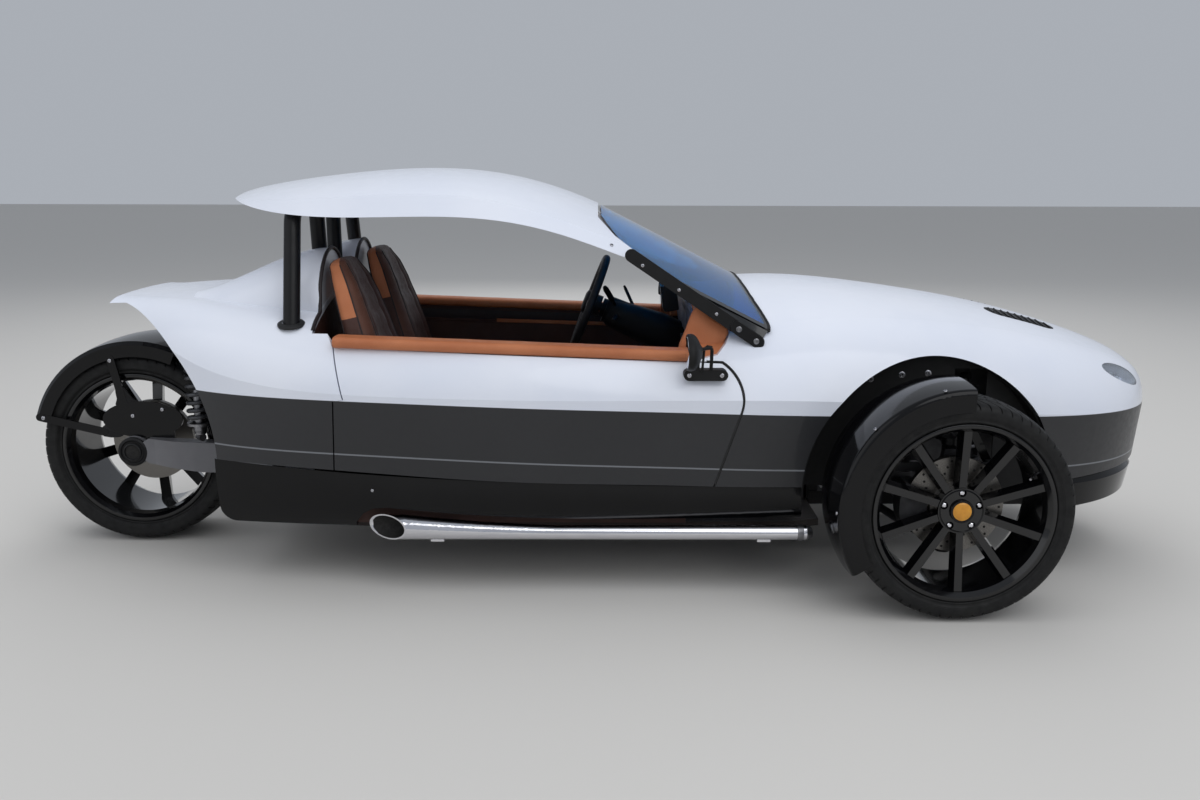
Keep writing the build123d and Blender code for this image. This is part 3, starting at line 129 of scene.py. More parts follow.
SHINE = {
    "gloss_black": {"coat": 0.15, "coat_rough": 0.04, "specular": 0.2},
    "rim_black": {"coat": 0.5, "coat_rough": 0.05, "specular": 0.35},
    "black_plastic": {"specular": 0.3},
    "black_metal": {"specular": 0.25},
    "spring_black": {"metallic": 0.5},
    "cast": {"metallic": 0.7},
    "engine": {"metallic": 0.8},
    "dark_bolt": {"metallic": 0.5},
    "carpet": {"sheen": 0.3},
    "cap_yellow": {"coat": 0.3, "coat_rough": 0.1},
    "frit": {"coat": 0.4, "coat_rough": 0.05},
    "lamp_white": {"coat": 0.4, "coat_rough": 0.05},
    "glass": {"transmission": 0.80, "ior": 1.45, "coat": 0.3, "coat_rough": 0.02},
    "lens": {"transmission": 0.95, "ior": 1.4, "coat": 0.5, "coat_rough": 0.02},
    "red_lens": {"transmission": 0.3, "coat": 0.5, "coat_rough": 0.04},
}
SOCKETS = {
    "metallic": "Metallic",
    "ior": "IOR",
    "coat": "Coat Weight",
    "coat_rough": "Coat Roughness",
    "transmission": "Transmission Weight",
    "sheen": "Sheen Weight",
    "specular": "Specular IOR Level",
}
WHITE = (226, 230, 240)
WHITE_SHADE = (220, 225, 237)
CHARCOAL = (28, 29, 33)
CHARCOAL_SHADE = (24, 25, 29)
PINSTRIPE = (112, 115, 120)
DOOR_LINING = (58, 32, 26)
SPLIT_Z = 0.539
SPLIT_SLOPE = -0.0315
STRIPE_CURVE = (0.3722, -0.0246, 0.0050)
STRIPE_HALF = 0.0024
DOOR_INNER_Y = 0.5408
RIB_PITCH = 0.009


def srgb(r, g, b):
    """A colour given as 0 to 255 for each channel, as the shaders take it."""
    out = []
    for c in (r / 255, g / 255, b / 255):
        out.append(c / 12.92 if c <= 0.04045 else ((c + 0.055) / 1.055) ** 2.4)
    return (*out, 1)


class Finish:
    """A material's node tree, with short calls for the nodes that the finishes share."""

    def __init__(self, name, **constants):
        self.name = name
        self.mat = bpy.data.materials.new(name)
        self.mat.use_nodes = True
        self.tree = self.mat.node_tree
        self.shader = self.tree.nodes["Principled BSDF"]
        for key, value in (constants | SHINE.get(name, {})).items():
            self.shader.inputs[SOCKETS[key]].default_value = value
        self.place = self.tree.nodes.new("ShaderNodeTexCoord").outputs["Object"]

    def give(self, socket, value):
        if isinstance(value, bpy.types.NodeSocket):
            self.tree.links.new(value, socket)
        else:
            socket.default_value = value

    def make(self, kind, values, output=0, **settings):
        node = self.tree.nodes.new(kind)
        for key, value in settings.items():
            setattr(node, key, value)
        for key, value in values.items():
            self.give(node.inputs[key], value)
        return node.outputs[output]

    def axis(self, which):
        return self.make("ShaderNodeSeparateXYZ", {0: self.place}, output="XYZ".index(which))

    def math(self, operation, a, b=0.0):
        return self.make("ShaderNodeMath", {0: a, 1: b}, operation=operation)

    def stretch(self, x, y, z):
        return self.make("ShaderNodeVectorMath", {0: self.place, 1: (x, y, z)}, operation="MULTIPLY")

    def noise(self, scale, detail=4.0, vector=None):
        values = {"Vector": vector or self.place, "Scale": scale, "Detail": detail}
        return self.make("ShaderNodeTexNoise", values)

    def spread(self, value, low, high, out_low=0.0, out_high=1.0):
        values = {0: value, 1: low, 2: high, 3: out_low, 4: out_high}
        return self.make("ShaderNodeMapRange", values)

    def mix(self, fac, a, b):
        return self.make("ShaderNodeMix", {0: fac, 6: a, 7: b}, output=2, data_type="RGBA")

    def mix_values(self, fac, a, b):
        return self.make("ShaderNodeMix", {0: fac, 2: a, 3: b}, data_type="FLOAT")

    def shade(self, pattern, low, high, colour, second):
        """A colour that goes from one shade to the other while a pattern rises from low to high."""
        return self.mix(self.spread(pattern, low, high), srgb(*colour), srgb(*second))

    def colour(self, value):
        self.give(self.shader.inputs["Base Color"], value)

    def rough(self, value):
        self.give(self.shader.inputs["Roughness"], value)

    def rough_over(self, pattern, low, high):
        """Roughness that drifts between two values with a pattern."""
        self.rough(self.spread(pattern, 0.3, 0.7, low, high))

    def bump(self, height, distance, strength=1.0, over=None):
        values = {"Height": height, "Distance": distance, "Strength": strength}
        if over is not None:
            values["Normal"] = over
        normal = self.make("ShaderNodeBump", values)
        self.give(self.shader.inputs["Normal"], normal)
        return normal


def plain_finish(name, colour, second, scale, rough, grain):
    """A finish whose colour and roughness drift over the surface, with a fine grain."""
    finish = Finish(name)
    finish.colour(finish.shade(finish.noise(scale, 5.0), 0.35, 0.65, colour, second))
    finish.rough_over(finish.noise(scale * 2.3, 6.0), *rough)
    if grain:
        finish.bump(finish.noise(grain[0], 3.0), grain[1])
    return finish


def brushed_metal(name, colour, second, rough, stretch):
    finish = Finish(name, metallic=1.0)
    streaks = finish.noise(60.0, vector=finish.stretch(*stretch))
    finish.colour(finish.shade(streaks, 0.3, 0.7, colour, second))
    finish.rough_over(streaks, *rough)
    finish.bump(streaks, 0.00008, 0.4)
    return finish


def leather(name, colour, second, rough):
    """Pebbled leather with creases and a slight change of shade, with painted shade darkening the creases
    between the pebbles.
    """
    finish = Finish(name, specular=0.45)
    shade = finish.shade(finish.noise(9.0), 0.35, 0.65, colour, second)
    values = {"Vector": finish.place, "Scale": 900.0}
    pits = finish.make("ShaderNodeTexVoronoi", values, feature="DISTANCE_TO_EDGE")
    # The pebbles' edges are painted darker: painted shade in the creases
    dark = srgb(*[c * 0.7 for c in second])
    finish.colour(finish.mix(finish.spread(pits, 0.0, 0.12, 0.35, 0.0), shade, dark))
    finish.rough_over(finish.noise(40.0), *rough)
    fine = finish.bump(finish.spread(pits, 0.0, 0.2), 0.0003, 0.6)
    finish.bump(finish.noise(22.0, 5.0), 0.002, 0.35, over=fine)
    return finish


def clear_finish(name, colour, second, rough):
    finish = Finish(name)
    finish.colour(finish.shade(finish.noise(4.0, 3.0), 0.3, 0.7, colour, second))
    finish.rough_over(finish.noise(25.0), *rough)
    return finish


def body_paint(name, door=False):
    """Pearl white above the waist and satin charcoal below, with a thin pinstripe near the sill."""
    finish = Finish(name, coat=0.25, coat_rough=0.06)
    x = finish.math("SUBTRACT", finish.axis("X"), FRONT_AXLE_X)
    z = finish.axis("Z")
    line = finish.math("ADD", finish.math("MULTIPLY", x, SPLIT_SLOPE), SPLIT_Z)
    above = finish.spread(finish.math("SUBTRACT", z, line), -0.0006, 0.0006)
    bend = finish.math("MULTIPLY", finish.math("MULTIPLY", x, x), STRIPE_CURVE[2])
    stripe_z = finish.math("ADD", finish.math("MULTIPLY", x, STRIPE_CURVE[1]), STRIPE_CURVE[0])
    off = finish.math("ABSOLUTE", finish.math("SUBTRACT", z, finish.math("ADD", stripe_z, bend)))
    stripe = finish.spread(off, STRIPE_HALF - 0.0004, STRIPE_HALF + 0.0004, 1.0, 0.0)
    drift = finish.noise(3.0)
    white = finish.shade(drift, 0.35, 0.65, WHITE, WHITE_SHADE)
    charcoal = finish.shade(drift, 0.35, 0.65, CHARCOAL, CHARCOAL_SHADE)
    shade = finish.mix(above, finish.mix(stripe, charcoal, srgb(*PINSTRIPE)), white)
    gloss = finish.spread(finish.noise(30.0, 5.0), 0.3, 0.7, 0.17, 0.23)
    satin = finish.spread(finish.noise(60.0, 5.0), 0.3, 0.7, 0.40, 0.5)
    rough = finish.mix_values(above, satin, gloss)
    if door:
        depth = finish.math("ABSOLUTE", finish.axis("Y"))
        inside = finish.spread(depth, DOOR_INNER_Y, DOOR_INNER_Y + 0.0004, 1.0, 0.0)
        shade = finish.mix(inside, shade, srgb(*DOOR_LINING))
        rough = finish.mix_values(inside, rough, 0.6)
    finish.colour(shade)
    finish.rough(rough)
    finish.bump(finish.noise(2600.0, 2.0), 0.00003, 0.25)
    return finish


def tyre_rubber(name):
    finish = Finish(name, specular=0.35)
    finish.colour(finish.shade(finish.noise(14.0, 6.0), 0.45, 0.75, (12, 12, 13), (22, 22, 21)))
    finish.rough_over(finish.noise(50.0, 5.0), 0.55, 0.78)
    finish.bump(finish.noise(700.0, 3.0), 0.0002, 0.5)
    return finish


def ribbed_plastic(name):
    """A dark moulding with fine level ribs, painted darker in the ribs' troughs and lighter on their crests as
    painted shade and painted highlight.
    """
    finish = Finish(name)
    wave = finish.math("SINE", finish.math("MULTIPLY", finish.axis("Z"), 2 * pi / RIB_PITCH))
    # Painted shade in the ribs' troughs and painted highlight on their crests, following the ribs' height
    finish.colour(finish.shade(wave, -1.0, 1.0, (16, 16, 17), (30, 30, 32)))
    finish.rough_over(finish.noise(80.0, 3.0), 0.4, 0.55)
    finish.bump(wave, 0.0025)
    return finish


FINISHES = [body_paint("paint"), body_paint("door_paint", door=True)]
FINISHES += [tyre_rubber("tyre"), ribbed_plastic("ribbed_black")]
MAKERS = ((plain_finish, PLAIN), (brushed_metal, METALS), (leather, LEATHERS), (clear_finish, CLEAR))
for maker, rows in MAKERS:
    FINISHES += [maker(*row) for row in rows]
MATERIALS = {finish.name: finish.mat for finish in FINISHES}

SLOT_OF = {s["node"]: s["material_slot"] for s in frame["record"]["subparts"]}
OWN_FINISH = {
    "right_side_panel": "door_paint",
    "left_side_panel": "door_paint",
    "swing_arm": "arm_metal",
    "floor_pan": "carpet",
    "dashboard": "dash_grey",
    "rear_bulkhead": "leather_brown",
}
for node_name, node_object in NODES.items():
    key = OWN_FINISH.get(node_name, SLOT_OF[node_name])
    node_object.data.materials.clear()
    node_object.data.materials.append(MATERIALS[key])

# Making pieces
SHARP_ANGLE = radians(38)


def bulged(value, power):
    """A value from -1 to 1 raised to a power, with its sign kept."""
    return copysign(abs(value) ** power, value)


def oval(centre, wide, high, count, square=1.0):
    """A ring of points about a centre, squarer where square is less than 1."""
    turns = [2 * pi * j / count for j in range(count)]
    return [centre + wide * bulged(cos(t), square) + high * bulged(sin(t), square) for t in turns]


def drawn_in(rim, scale):
    """A ring of points brought nearer its middle."""
    middle = sum(rim, Vector()) / len(rim)
    return [middle + (p - middle) * scale for p in rim]


class Shape:
    """Points and faces gathered from many small forms, to become one piece."""

    def __init__(self):
        self.verts = []
        self.faces = []
        self.kinds = []
        self.kind = 0

    def take(self, verts, faces):
        base = len(self.verts)
        self.verts.extend(Vector(v) for v in verts)
        self.faces.extend([tuple(base + i for i in face) for face in faces])
        self.kinds.extend([self.kind] * len(faces))

    def piece(self, name, body, finishes, slot, smooth=True):
        """One mesh that rides on a body, with one finish or one finish for each kind of face."""
        mesh = bpy.data.meshes.new(name)
        mesh.from_pydata([tuple(v) for v in self.verts], [], self.faces)
        for key in [finishes] if isinstance(finishes, str) else finishes:
            mesh.materials.append(MATERIALS[key])
        for polygon, kind in zip(mesh.polygons, self.kinds):
            polygon.material_index = kind
        mesh.validate()
        fix = bmesh.new()
        fix.from_mesh(mesh)
        bmesh.ops.recalc_face_normals(fix, faces=fix.faces)
        fix.to_mesh(mesh)
        fix.free()
        if smooth:
            mesh.shade_smooth()
            mesh.set_sharp_from_angle(angle=SHARP_ANGLE)
        piece = bpy.data.objects.new(name, mesh)
        bpy.context.scene.collection.objects.link(piece)
        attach(piece, body)
        return piece

    def rings(self, rings, closed=True, caps=True, loop=False):
        """Skin between rings of points. closed joins each ring's ends, loop the last ring to the first."""
        count, total = len(rings[0]), len(rings)
        faces = []
        for i in range(total if loop else total - 1):
            row, after = i * count, (i + 1) % total * count
            for j in range(count if closed else count - 1):
                k = (j + 1) % count
                faces.append((row + j, row + k, after + k, after + j))
        if caps and closed and not loop:
            faces.append(tuple(reversed(range(count))))
            faces.append(tuple((total - 1) * count + j for j in range(count)))
        self.take([v for ring in rings for v in ring], faces)

    def tube(self, points, radius, sides=10, loop=False, flat=1.0):
        """A round or flattened bar along a line of points, with one radius or one for each point."""
        points = [Vector(p) for p in points]
        last = len(points) - 1
        radii = radius if isinstance(radius, list) else [radius] * len(points)
        rings = []
        side = None
        for i, point in enumerate(points):
            before = points[i - 1] if (i or loop) else point
            after = points[(i + 1) % len(points)] if (i < last or loop) else point
            along = (after - before).normalized()
            side = side or along.orthogonal().normalized()
            side = (side - along * side.dot(along)).normalized()
            rings.append(oval(point, side * radii[i], along.cross(side) * (radii[i] * flat), sides))
        self.rings(rings, loop=loop)

    def turned(self, centre, axis, profile, steps=32):
        """A form turned about an axis, from a profile of distance along it and radius."""
        centre, axis = Vector(centre), Vector(axis).normalized()
        side = axis.orthogonal().normalized()
        spokes = oval(Vector(), side, axis.cross(side), steps)
        rings = [[centre + axis * a + out * r for a, r in profile] for out in spokes]
        self.rings(rings, closed=False, loop=True)

    def slab(self, rim, levels):
        """A flat pad that lies across the car: its rim at y 0, and each level's scale of the rim and y."""
        self.rings([[p + Vector((0, y, 0)) for p in drawn_in(rim, scale)] for scale, y in levels])

    def box(self, centre, size, bevel, turn=None):
        """A box with its edges cut back by a bevel."""
        bm = bmesh.new()
        bmesh.ops.create_cube(bm, size=1.0)
        bmesh.ops.scale(bm, vec=Vector(size), verts=bm.verts)
        bmesh.ops.bevel(bm, geom=bm.edges[:], offset=bevel, segments=2, affect="EDGES", profile=0.7)
        bm.transform(Matrix.Translation(Vector(centre)) @ (turn.to_4x4() if turn else Matrix.Identity(4)))
        bm.verts.index_update()
        self.take([v.co.copy() for v in bm.verts], [tuple(v.index for v in f.verts) for f in bm.faces])
        bm.free()

    def bolt(self, place, axis, radius, height):
        """A low domed screw head with a socket in it."""
        profile = [(0, radius), (height * 0.55, radius), (height * 0.9, radius * 0.82), (height, radius * 0.6)]
        profile += [(height, radius * 0.42), (height * 0.35, radius * 0.36), (height * 0.35, 0.00001)]
        self.turned(place, axis, profile, steps=20)


def smooth_line(points, steps, loop=False):
    """Points along a smooth line through the given points."""
    points = [Vector(p) for p in points]
    count = len(points)
    out = []
    for i in range(count if loop else count - 1):
        p1, p2 = points[i], points[(i + 1) % count]
        p0 = points[i - 1] if (i or loop) else p1 * 2 - p2
        p3 = points[(i + 2) % count] if (i + 2 < count or loop) else p2 * 2 - p1
        for k in range(steps):
            t = k / steps
            out.append(0.5 * ((2 * p1) + (p2 - p0) * t + (2 * p0 - 5 * p1 + 4 * p2 - p3) * t * t
                              + (3 * p1 - p0 - 3 * p2 + p3) * t ** 3))
    return out if loop else out + [points[-1]]


TREES = {}


def tree_of(*names):
    """A search tree of some nodes' surfaces, for laying pieces on them."""
    if names not in TREES:
        verts, faces = [], []
        for name in names:
            mesh = NODES[name].data
            base = len(verts)
            verts.extend(v.co.copy() for v in mesh.vertices)
            faces.extend([tuple(base + i for i in p.vertices) for p in mesh.polygons])
        TREES[names] = BVHTree.FromPolygons(verts, faces)
    return TREES[names]


def first_touch(place, way, names):
    """Where a ray first meets some nodes, and the surface's normal there, turned against the ray."""
    way = Vector(way)
    hit, normal, _, _ = tree_of(*names).ray_cast(Vector(place), way)
    if hit is None:
        return None, None
    return hit, -normal if normal.dot(way) > 0 else normal


def on_side(s, x, z, *names):
    """The outermost place of some nodes at x and z on one side of the car, and its normal."""
    return first_touch((x, s * 2.0, z), (0, -s, 0), names)


def on_top(x, y, *names):
    """The highest place of some nodes at x and y, and its normal."""
    return first_touch((x, y, 3.0), (0, 0, -1), names)


# Wheels: tyre's radius and width, rim's width, y of the grooves, of the spokes' face and of the disc's face
FRONT_WHEEL = (FRONT_TYRE_R, 0.225, 0.203, (-0.051, -0.017, 0.017, 0.051), 0.092, 0.010)
REAR_WHEEL = (REAR_TYRE_R, 0.285, 0.254, (-0.075, -0.026, 0.026, 0.075), 0.112, 0.020)
WHEELS = [
    # name, x, y, outward side, measures
    ("front_right", FRONT_AXLE_X, -FRONT_WHEEL_Y, -1, *FRONT_WHEEL),
    ("front_left", FRONT_AXLE_X, FRONT_WHEEL_Y, 1, *FRONT_WHEEL),
    ("rear", REAR_AXLE_X, 0.0, 1, *REAR_WHEEL),
]

# Tyres: tread blocks in rows, grooves and ribbed sidewalls
TREAD_PITCHES = 62
GROOVE_W = 0.0075
GROOVE_DEPTH = 0.006
GROOVE_SLOPE = 0.0012
TREAD_LEAN = 0.56
SHOULDER_LEAN = 1.12
SIPE_REACH = 0.020
SIPE_DEPTHS = (0.0, 0.0045, 0.0022)
SIPE = [
    # share of a pitch, whether it lies in the sipe
    (0.00, 0), (0.03, 1), (0.11, 1), (0.14, 0), (0.56, 0),
]
BEAD = [
    # y beyond half the rim's width, radius
    (-0.002, 0.2435), (-0.002, 0.2560), (0.0015, 0.2585), (0.0050, 0.2600), (0.0060, 0.2625),
    (0.0050, 0.2650), (0.0046, 0.2670),
]
WALL_RIBS = [
    # y inside half the tyre's width, radius
    (0.0036, 0.2735), (0.0028, 0.2745), (0.0028, 0.2765), (0.0018, 0.2775),
]
SHOULDER = [
    # y inside half the tyre's width, depth under the tread's radius, kind
    (0.0013, 0.0360, 0), (0.0012, 0.0300, 0), (0.0022, 0.0240, 1), (0.0050, 0.0180, 1), (0.0100, 0.0128, 1),
    (0.0160, 0.0100, 1), (0.0220, 0.0082, 1),
]


def tyre_profile(radius, width, rim_width, grooves):
    """Across the tyre: y, radius and kind, where kind 1 is tread shoulder, 2 middle tread and 0 the rest."""
    half = width / 2
    side = [(rim_width / 2 + y, r, 0) for y, r in BEAD] + [(half - y, r, 0) for y, r in WALL_RIBS]
    side += [(half - y, radius - depth, kind) for y, depth, kind in SHOULDER]

    def crown(y):
        return radius - 0.0005 - 0.0077 * (abs(y) / (half - 0.022)) ** 2.4

    middle = [((a + b) / 2, crown((a + b) / 2), 2) for a, b in zip(grooves, grooves[1:])]
    for groove in grooves:
        for edge in (-1, 1):
            lip = edge * GROOVE_W / 2
            middle.append((groove + lip, crown(groove), 2))
            middle.append((groove + lip - edge * GROOVE_SLOPE, crown(groove) - GROOVE_DEPTH, 0))
    return [(-y, r, k) for y, r, k in side] + sorted(middle) + [(y, r, k) for y, r, k in reversed(side)]


def tread_lean(across, kind, outer_groove):
    """How far round the tyre the blocks lean, at a distance from its middle."""
    if kind == 1:
        return (across - outer_groove) * SHOULDER_LEAN
    if kind == 2 or across <= outer_groove + GROOVE_W:
        return -across * TREAD_LEAN
    return -outer_groove * TREAD_LEAN


def make_tyre(name, x, y, radius, width, rim_width, grooves):
    profile = tyre_profile(radius, width, rim_width, grooves)
    rings = []
    for k in range(TREAD_PITCHES):
        for share, low in SIPE:
            ring = []
            for across, r, kind in profile:
                at = 2 * pi * (k + share) / TREAD_PITCHES + tread_lean(abs(across), kind, grooves[-1])
                if low and r > radius - SIPE_REACH:
                    r -= SIPE_DEPTHS[kind]
                ring.append(Vector((x + sin(at) * r, y + across, radius + cos(at) * r)))
            rings.append(ring)
    shape = Shape()
    shape.rings(rings, closed=False, loop=True)
    piece = shape.piece(f"{name}_tyre_tread", f"{name}_wheel", "tyre", slot="tyre")
    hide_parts(f"{name}_tyre")


# Wheels' small parts, each turned from a profile of distance along the axle and radius
LUG_CIRCLE_R = 0.052
NUT = [(0, 0.0092), (0.010, 0.0092), (0.0215, 0.0076), (0.0235, 0.005), (0.024, 0.0001)]
NUT_COLLAR = [(0, 0.0107), (0.002, 0.0107), (0.003, 0.009)]
CAP_RING = [(-0.004, 0.0335), (0.001, 0.0335), (0.0025, 0.0325), (0.003, 0.030), (0.0016, 0.0262)]
CAP_DISC = [(0.0016, 0.0262), (0.0018, 0.0255), (0.0030, 0.0240), (0.0040, 0.012), (0.0044, 0.0001)]
CAP_SEAT = [(-0.0095, 0.0630), (-0.0048, 0.0625), (-0.0042, 0.060), (-0.0058, 0.0585)]
RIM_LIP = [(0, 0.2556), (0.0010, 0.2552), (0.0016, 0.2538), (0.0010, 0.2470), (0, 0.2462)]
RIM_LIP_OUT = 0.0058
DISC_HOLE = [(0, 0.0038), (0.0002, 0.0034), (0.0002, 0.00005)]
DISC_HOLE_RINGS = (0.096, 0.112, 0.128)


def make_wheel_parts(name, x, y, s, z, rim_width, face):
    """Nuts, centre cap, the rim's lips and the valve."""
    body = f"{name}_wheel"
    axis = Vector((0, s, 0))
    hub = Vector((x, y + s * (face - 0.016), z))
    nuts = Shape()
    for k in range(5):
        turn = 2 * pi * k / 5
        place = hub + Vector((sin(turn), 0, cos(turn))) * LUG_CIRCLE_R - axis * 0.023
        nuts.turned(place, axis, NUT, steps=6)
        nuts.turned(place, axis, NUT_COLLAR, steps=20)
    nuts.piece(f"{name}_wheel_nuts", body, "chrome", smooth=False, slot="chrome")
    cap = Shape()
    for kind, profile in ((0, CAP_RING), (1, CAP_DISC), (0, CAP_SEAT)):
        cap.kind = kind
        cap.turned(hub + axis * 0.006, axis, profile, steps=48)
    cap.piece(f"{name}_centre_cap", body, ("gloss_black", "cap_yellow"), slot="rim_black")
    lips = Shape()
    for away in (1, -1):
        edge = Vector((x, y + s * away * (rim_width / 2 + RIM_LIP_OUT), z))
        lips.turned(edge, axis * away, RIM_LIP, steps=96)
    lips.piece(f"{name}_rim_lip", body, "rim_black", slot="rim_black")
    valve = Shape()
    stem = Vector((x + 0.205, y + s * (face - 0.03), z + 0.105))
    bends = [(0, 0, 0), (-0.012, s * 0.010, -0.006), (-0.022, s * 0.022, -0.011)]
    valve.tube([stem + Vector(bend) for bend in bends], 0.0035)
    valve.piece(f"{name}_valve", body, "bolt_steel", slot="rim_black")


def make_disc_holes(name, x, y, s, z, face):
    # Drilled holes drawn as flat dark dots on the disc's face: painted shade where the holes would be
    holes = Shape()
    for ring, radius in enumerate(DISC_HOLE_RINGS):
        for k in range(18):
            turn = 2 * pi * (k + ring / 3) / 18
            place = Vector((x + sin(turn) * radius, y + s * (face + 0.0002), z + cos(turn) * radius))
            holes.turned(place, (0, s, 0), DISC_HOLE, steps=10)
    holes.piece(f"{name}_disc_holes", f"{name}_wheel", "soot", slot="disc_steel")


for name, x, y, s, radius, width, rim_width, grooves, face, disc_face in WHEELS:
    make_tyre(name, x, y, radius, width, rim_width, grooves)
    make_wheel_parts(name, x, y, s, radius, rim_width, face)
    make_disc_holes(name, x, y, s, radius, disc_face)

# Coil-overs: a wound spring between two cups, a damper body and its rod
COIL_TURNS = 8
COIL_STEPS = 22
EYE_R = 0.0125


def coil_over(name, foot, top, coil_r, wire_r, node, bright):
    foot, top = Vector(foot), Vector(top)
    length = (top - foot).length
    along = (top - foot).normalized()
    side = along.orthogonal().normalized()
    up = along.cross(side)
    low, high = foot + along * 0.062, top - along * 0.046
    rise = (high - low).length - 2 * wire_r
    cup_r = coil_r + wire_r
    shape = Shape()
    wire = []
    for i in range(COIL_TURNS * COIL_STEPS + 1):
        share = i / (COIL_TURNS * COIL_STEPS)
        turn = 2 * pi * COIL_TURNS * share
        ease = share - 0.055 * sin(2 * pi * share) / pi
        spoke = side * (cos(turn) * coil_r) + up * (sin(turn) * coil_r)
        wire.append(low + along * (wire_r + rise * ease) + spoke)
    shape.tube(wire, wire_r)
    shape.kind = 1
    damper = [(0.022, 0.0001), (0.022, coil_r * 0.5), (length * 0.5, coil_r * 0.5)]
    shape.turned(foot, along, damper + [(length * 0.53, coil_r * 0.42), (length * 0.53, 0.004)])
    lower_cup = [(-0.026, coil_r * 0.5), (-0.026, coil_r * 0.62), (-0.012, coil_r * 0.62), (-0.008, cup_r)]
    shape.turned(low, along, lower_cup + [(0.0, cup_r), (0.002, coil_r * 0.7)])
    upper_cup = [(-0.002, coil_r * 0.7), (0.0, cup_r), (0.007, cup_r), (0.012, coil_r * 0.7)]
    shape.turned(high, along, upper_cup + [(0.016, coil_r * 0.3)])
    for k in range(3):
        thread = [(0, coil_r * 0.5), (0.001, coil_r * 0.57), (0.004, coil_r * 0.57), (0.005, coil_r * 0.5)]
        shape.turned(low - along * (0.026 + 0.006 * k), along, thread)
    shape.kind = 2
    rod_r = coil_r * 0.22
    shape.turned(foot, along, [(length * 0.5, rod_r), (length - 0.012, rod_r), (length - 0.012, 0.0001)])
    shape.kind = 1
    for end, inward in ((foot, along), (top, -along)):
        shape.tube([end + up * reach + inward * 0.012 for reach in (-0.014, 0.014)], EYE_R, sides=18)
        neck = [(0.0, 0.008), (0.012, 0.010), (0.03, 0.012), (0.045, coil_r * 0.3)]
        shape.turned(end + inward * 0.004, inward, neck)
    piece = shape.piece(name, "body", ("spring_black", bright, "chrome"), slot="spring_black")
    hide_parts(node)


REAR_SHOCK_X = x_at(-2.338)
FRONT_SHOCK_X = x_at(0.128)
foot, top = (REAR_SHOCK_X, -0.196, 0.371), (REAR_SHOCK_X, -0.196, 0.6977)
coil_over("rear_coil_over", foot, top, 0.034, 0.007, "rear_shock", "steel")
for side, s in SIDES:
    foot, top = (FRONT_SHOCK_X, s * 0.500, 0.206), (FRONT_SHOCK_X, s * 0.385, 0.640)
    coil_over(f"{side}_coil_over", foot, top, 0.030, 0.006, f"{side}_front_shock", "black_metal")

# Seats: a shell with side pads, a channelled middle and piping
SEAT_Y = 0.285
BACK_FOOT = Vector((x_at(-1.640), 0, 0.3240))
BACK_UP = Vector((-0.150, 0, 0.640)).normalized()
BACK_REAR = Vector((-0.9737, 0, -0.2282))
BACK_HIGH = 0.665
BACK_REAR_DEPTH = 0.060
BACK_SQUARE = 0.62
BACK_CHANNEL = 0.078
BACK_ROWS = 46
BACK_COLS = 88
# Height up the back below which the tan flank is painted brown: painted shade for the roof's shadow
FLANK_SHADOW_TOP = 0.512
WING_FRONT = radians(36)
PANEL_FRONT = radians(76)
PANEL_REAR = radians(117)
SEAT_BACK = [
    # height up the back, half width, thickness
    (0.0, 0.198, 0.110), (0.12, 0.206, 0.114), (0.23, 0.213, 0.116), (0.34, 0.207, 0.110),
    (0.45, 0.193, 0.099), (0.54, 0.172, 0.088), (0.61, 0.148, 0.077), (0.665, 0.112, 0.062),
]


def between(rows, at):
    """The values of a table at a place between its rows, smoothly."""
    for a, b in zip(rows, rows[1:]):
        if at <= b[0]:
            t = (at - a[0]) / (b[0] - a[0])
            t = t * t * (3 - 2 * t) * 0.4 + t * 0.6
            return [p + (q - p) * t for p, q in zip(a[1:], b[1:])]
    return list(rows[-1][1:])


def bump_at(value, centre, width):
    """A smooth hump of height one about a centre."""
    d = abs(value - centre) / width
    return 0.0 if d >= 1 else (1 + cos(pi * d)) / 2


def channel_at(place, pitch):
    """How deep a sewn channel is at a place, from 0 on a tube's crown to 1 in the seam."""
    return 1 - abs(cos(pi * place / pitch)) ** 0.35


def seat_back_point(s, height, turn):
    """A point of the seat's back: turn 0 faces the front, a quarter turn the left."""
    half, thick = between(SEAT_BACK, height)
    depth = bulged(cos(turn), BACK_SQUARE) * thick / 2
    across = bulged(sin(turn), BACK_SQUARE) * half
    share = across / half
    if cos(turn) > 0:
        pad = bump_at(abs(share), 0.80, 0.34) * 0.010 - bump_at(abs(share), 0.52, 0.055) * 0.006
        pad -= bump_at(share, 0.0, 0.5) * 0.010
        if abs(share) < 0.5:
            pad -= channel_at(height, BACK_CHANNEL) * 0.0045
        depth += pad * min(1.0, (BACK_HIGH - height) / 0.08 + 0.2) * min(1.0, height / 0.05 + 0.3)
    rear = BACK_REAR * (BACK_REAR_DEPTH - thick / 2 - depth)
    return BACK_FOOT + Vector((0, s * SEAT_Y + across, 0)) + BACK_UP * height + rear


def back_kind(height, turn):
    """Which leather a part of the back wears: 0 brown front and lower flank, 1 tan upper flank, 2 dark rear, 3
    brown wing. The lower flank is tan leather painted brown, a painted shadow of the roof.
    """
    t = abs((turn + pi) % (2 * pi) - pi)
    if t >= PANEL_REAR:
        return 2
    if t > PANEL_FRONT:
        # Below this height the tan flank is painted brown, a painted roof shadow
        return 1 if height > FLANK_SHADOW_TOP else 0
    return 3 if t > WING_FRONT else 0


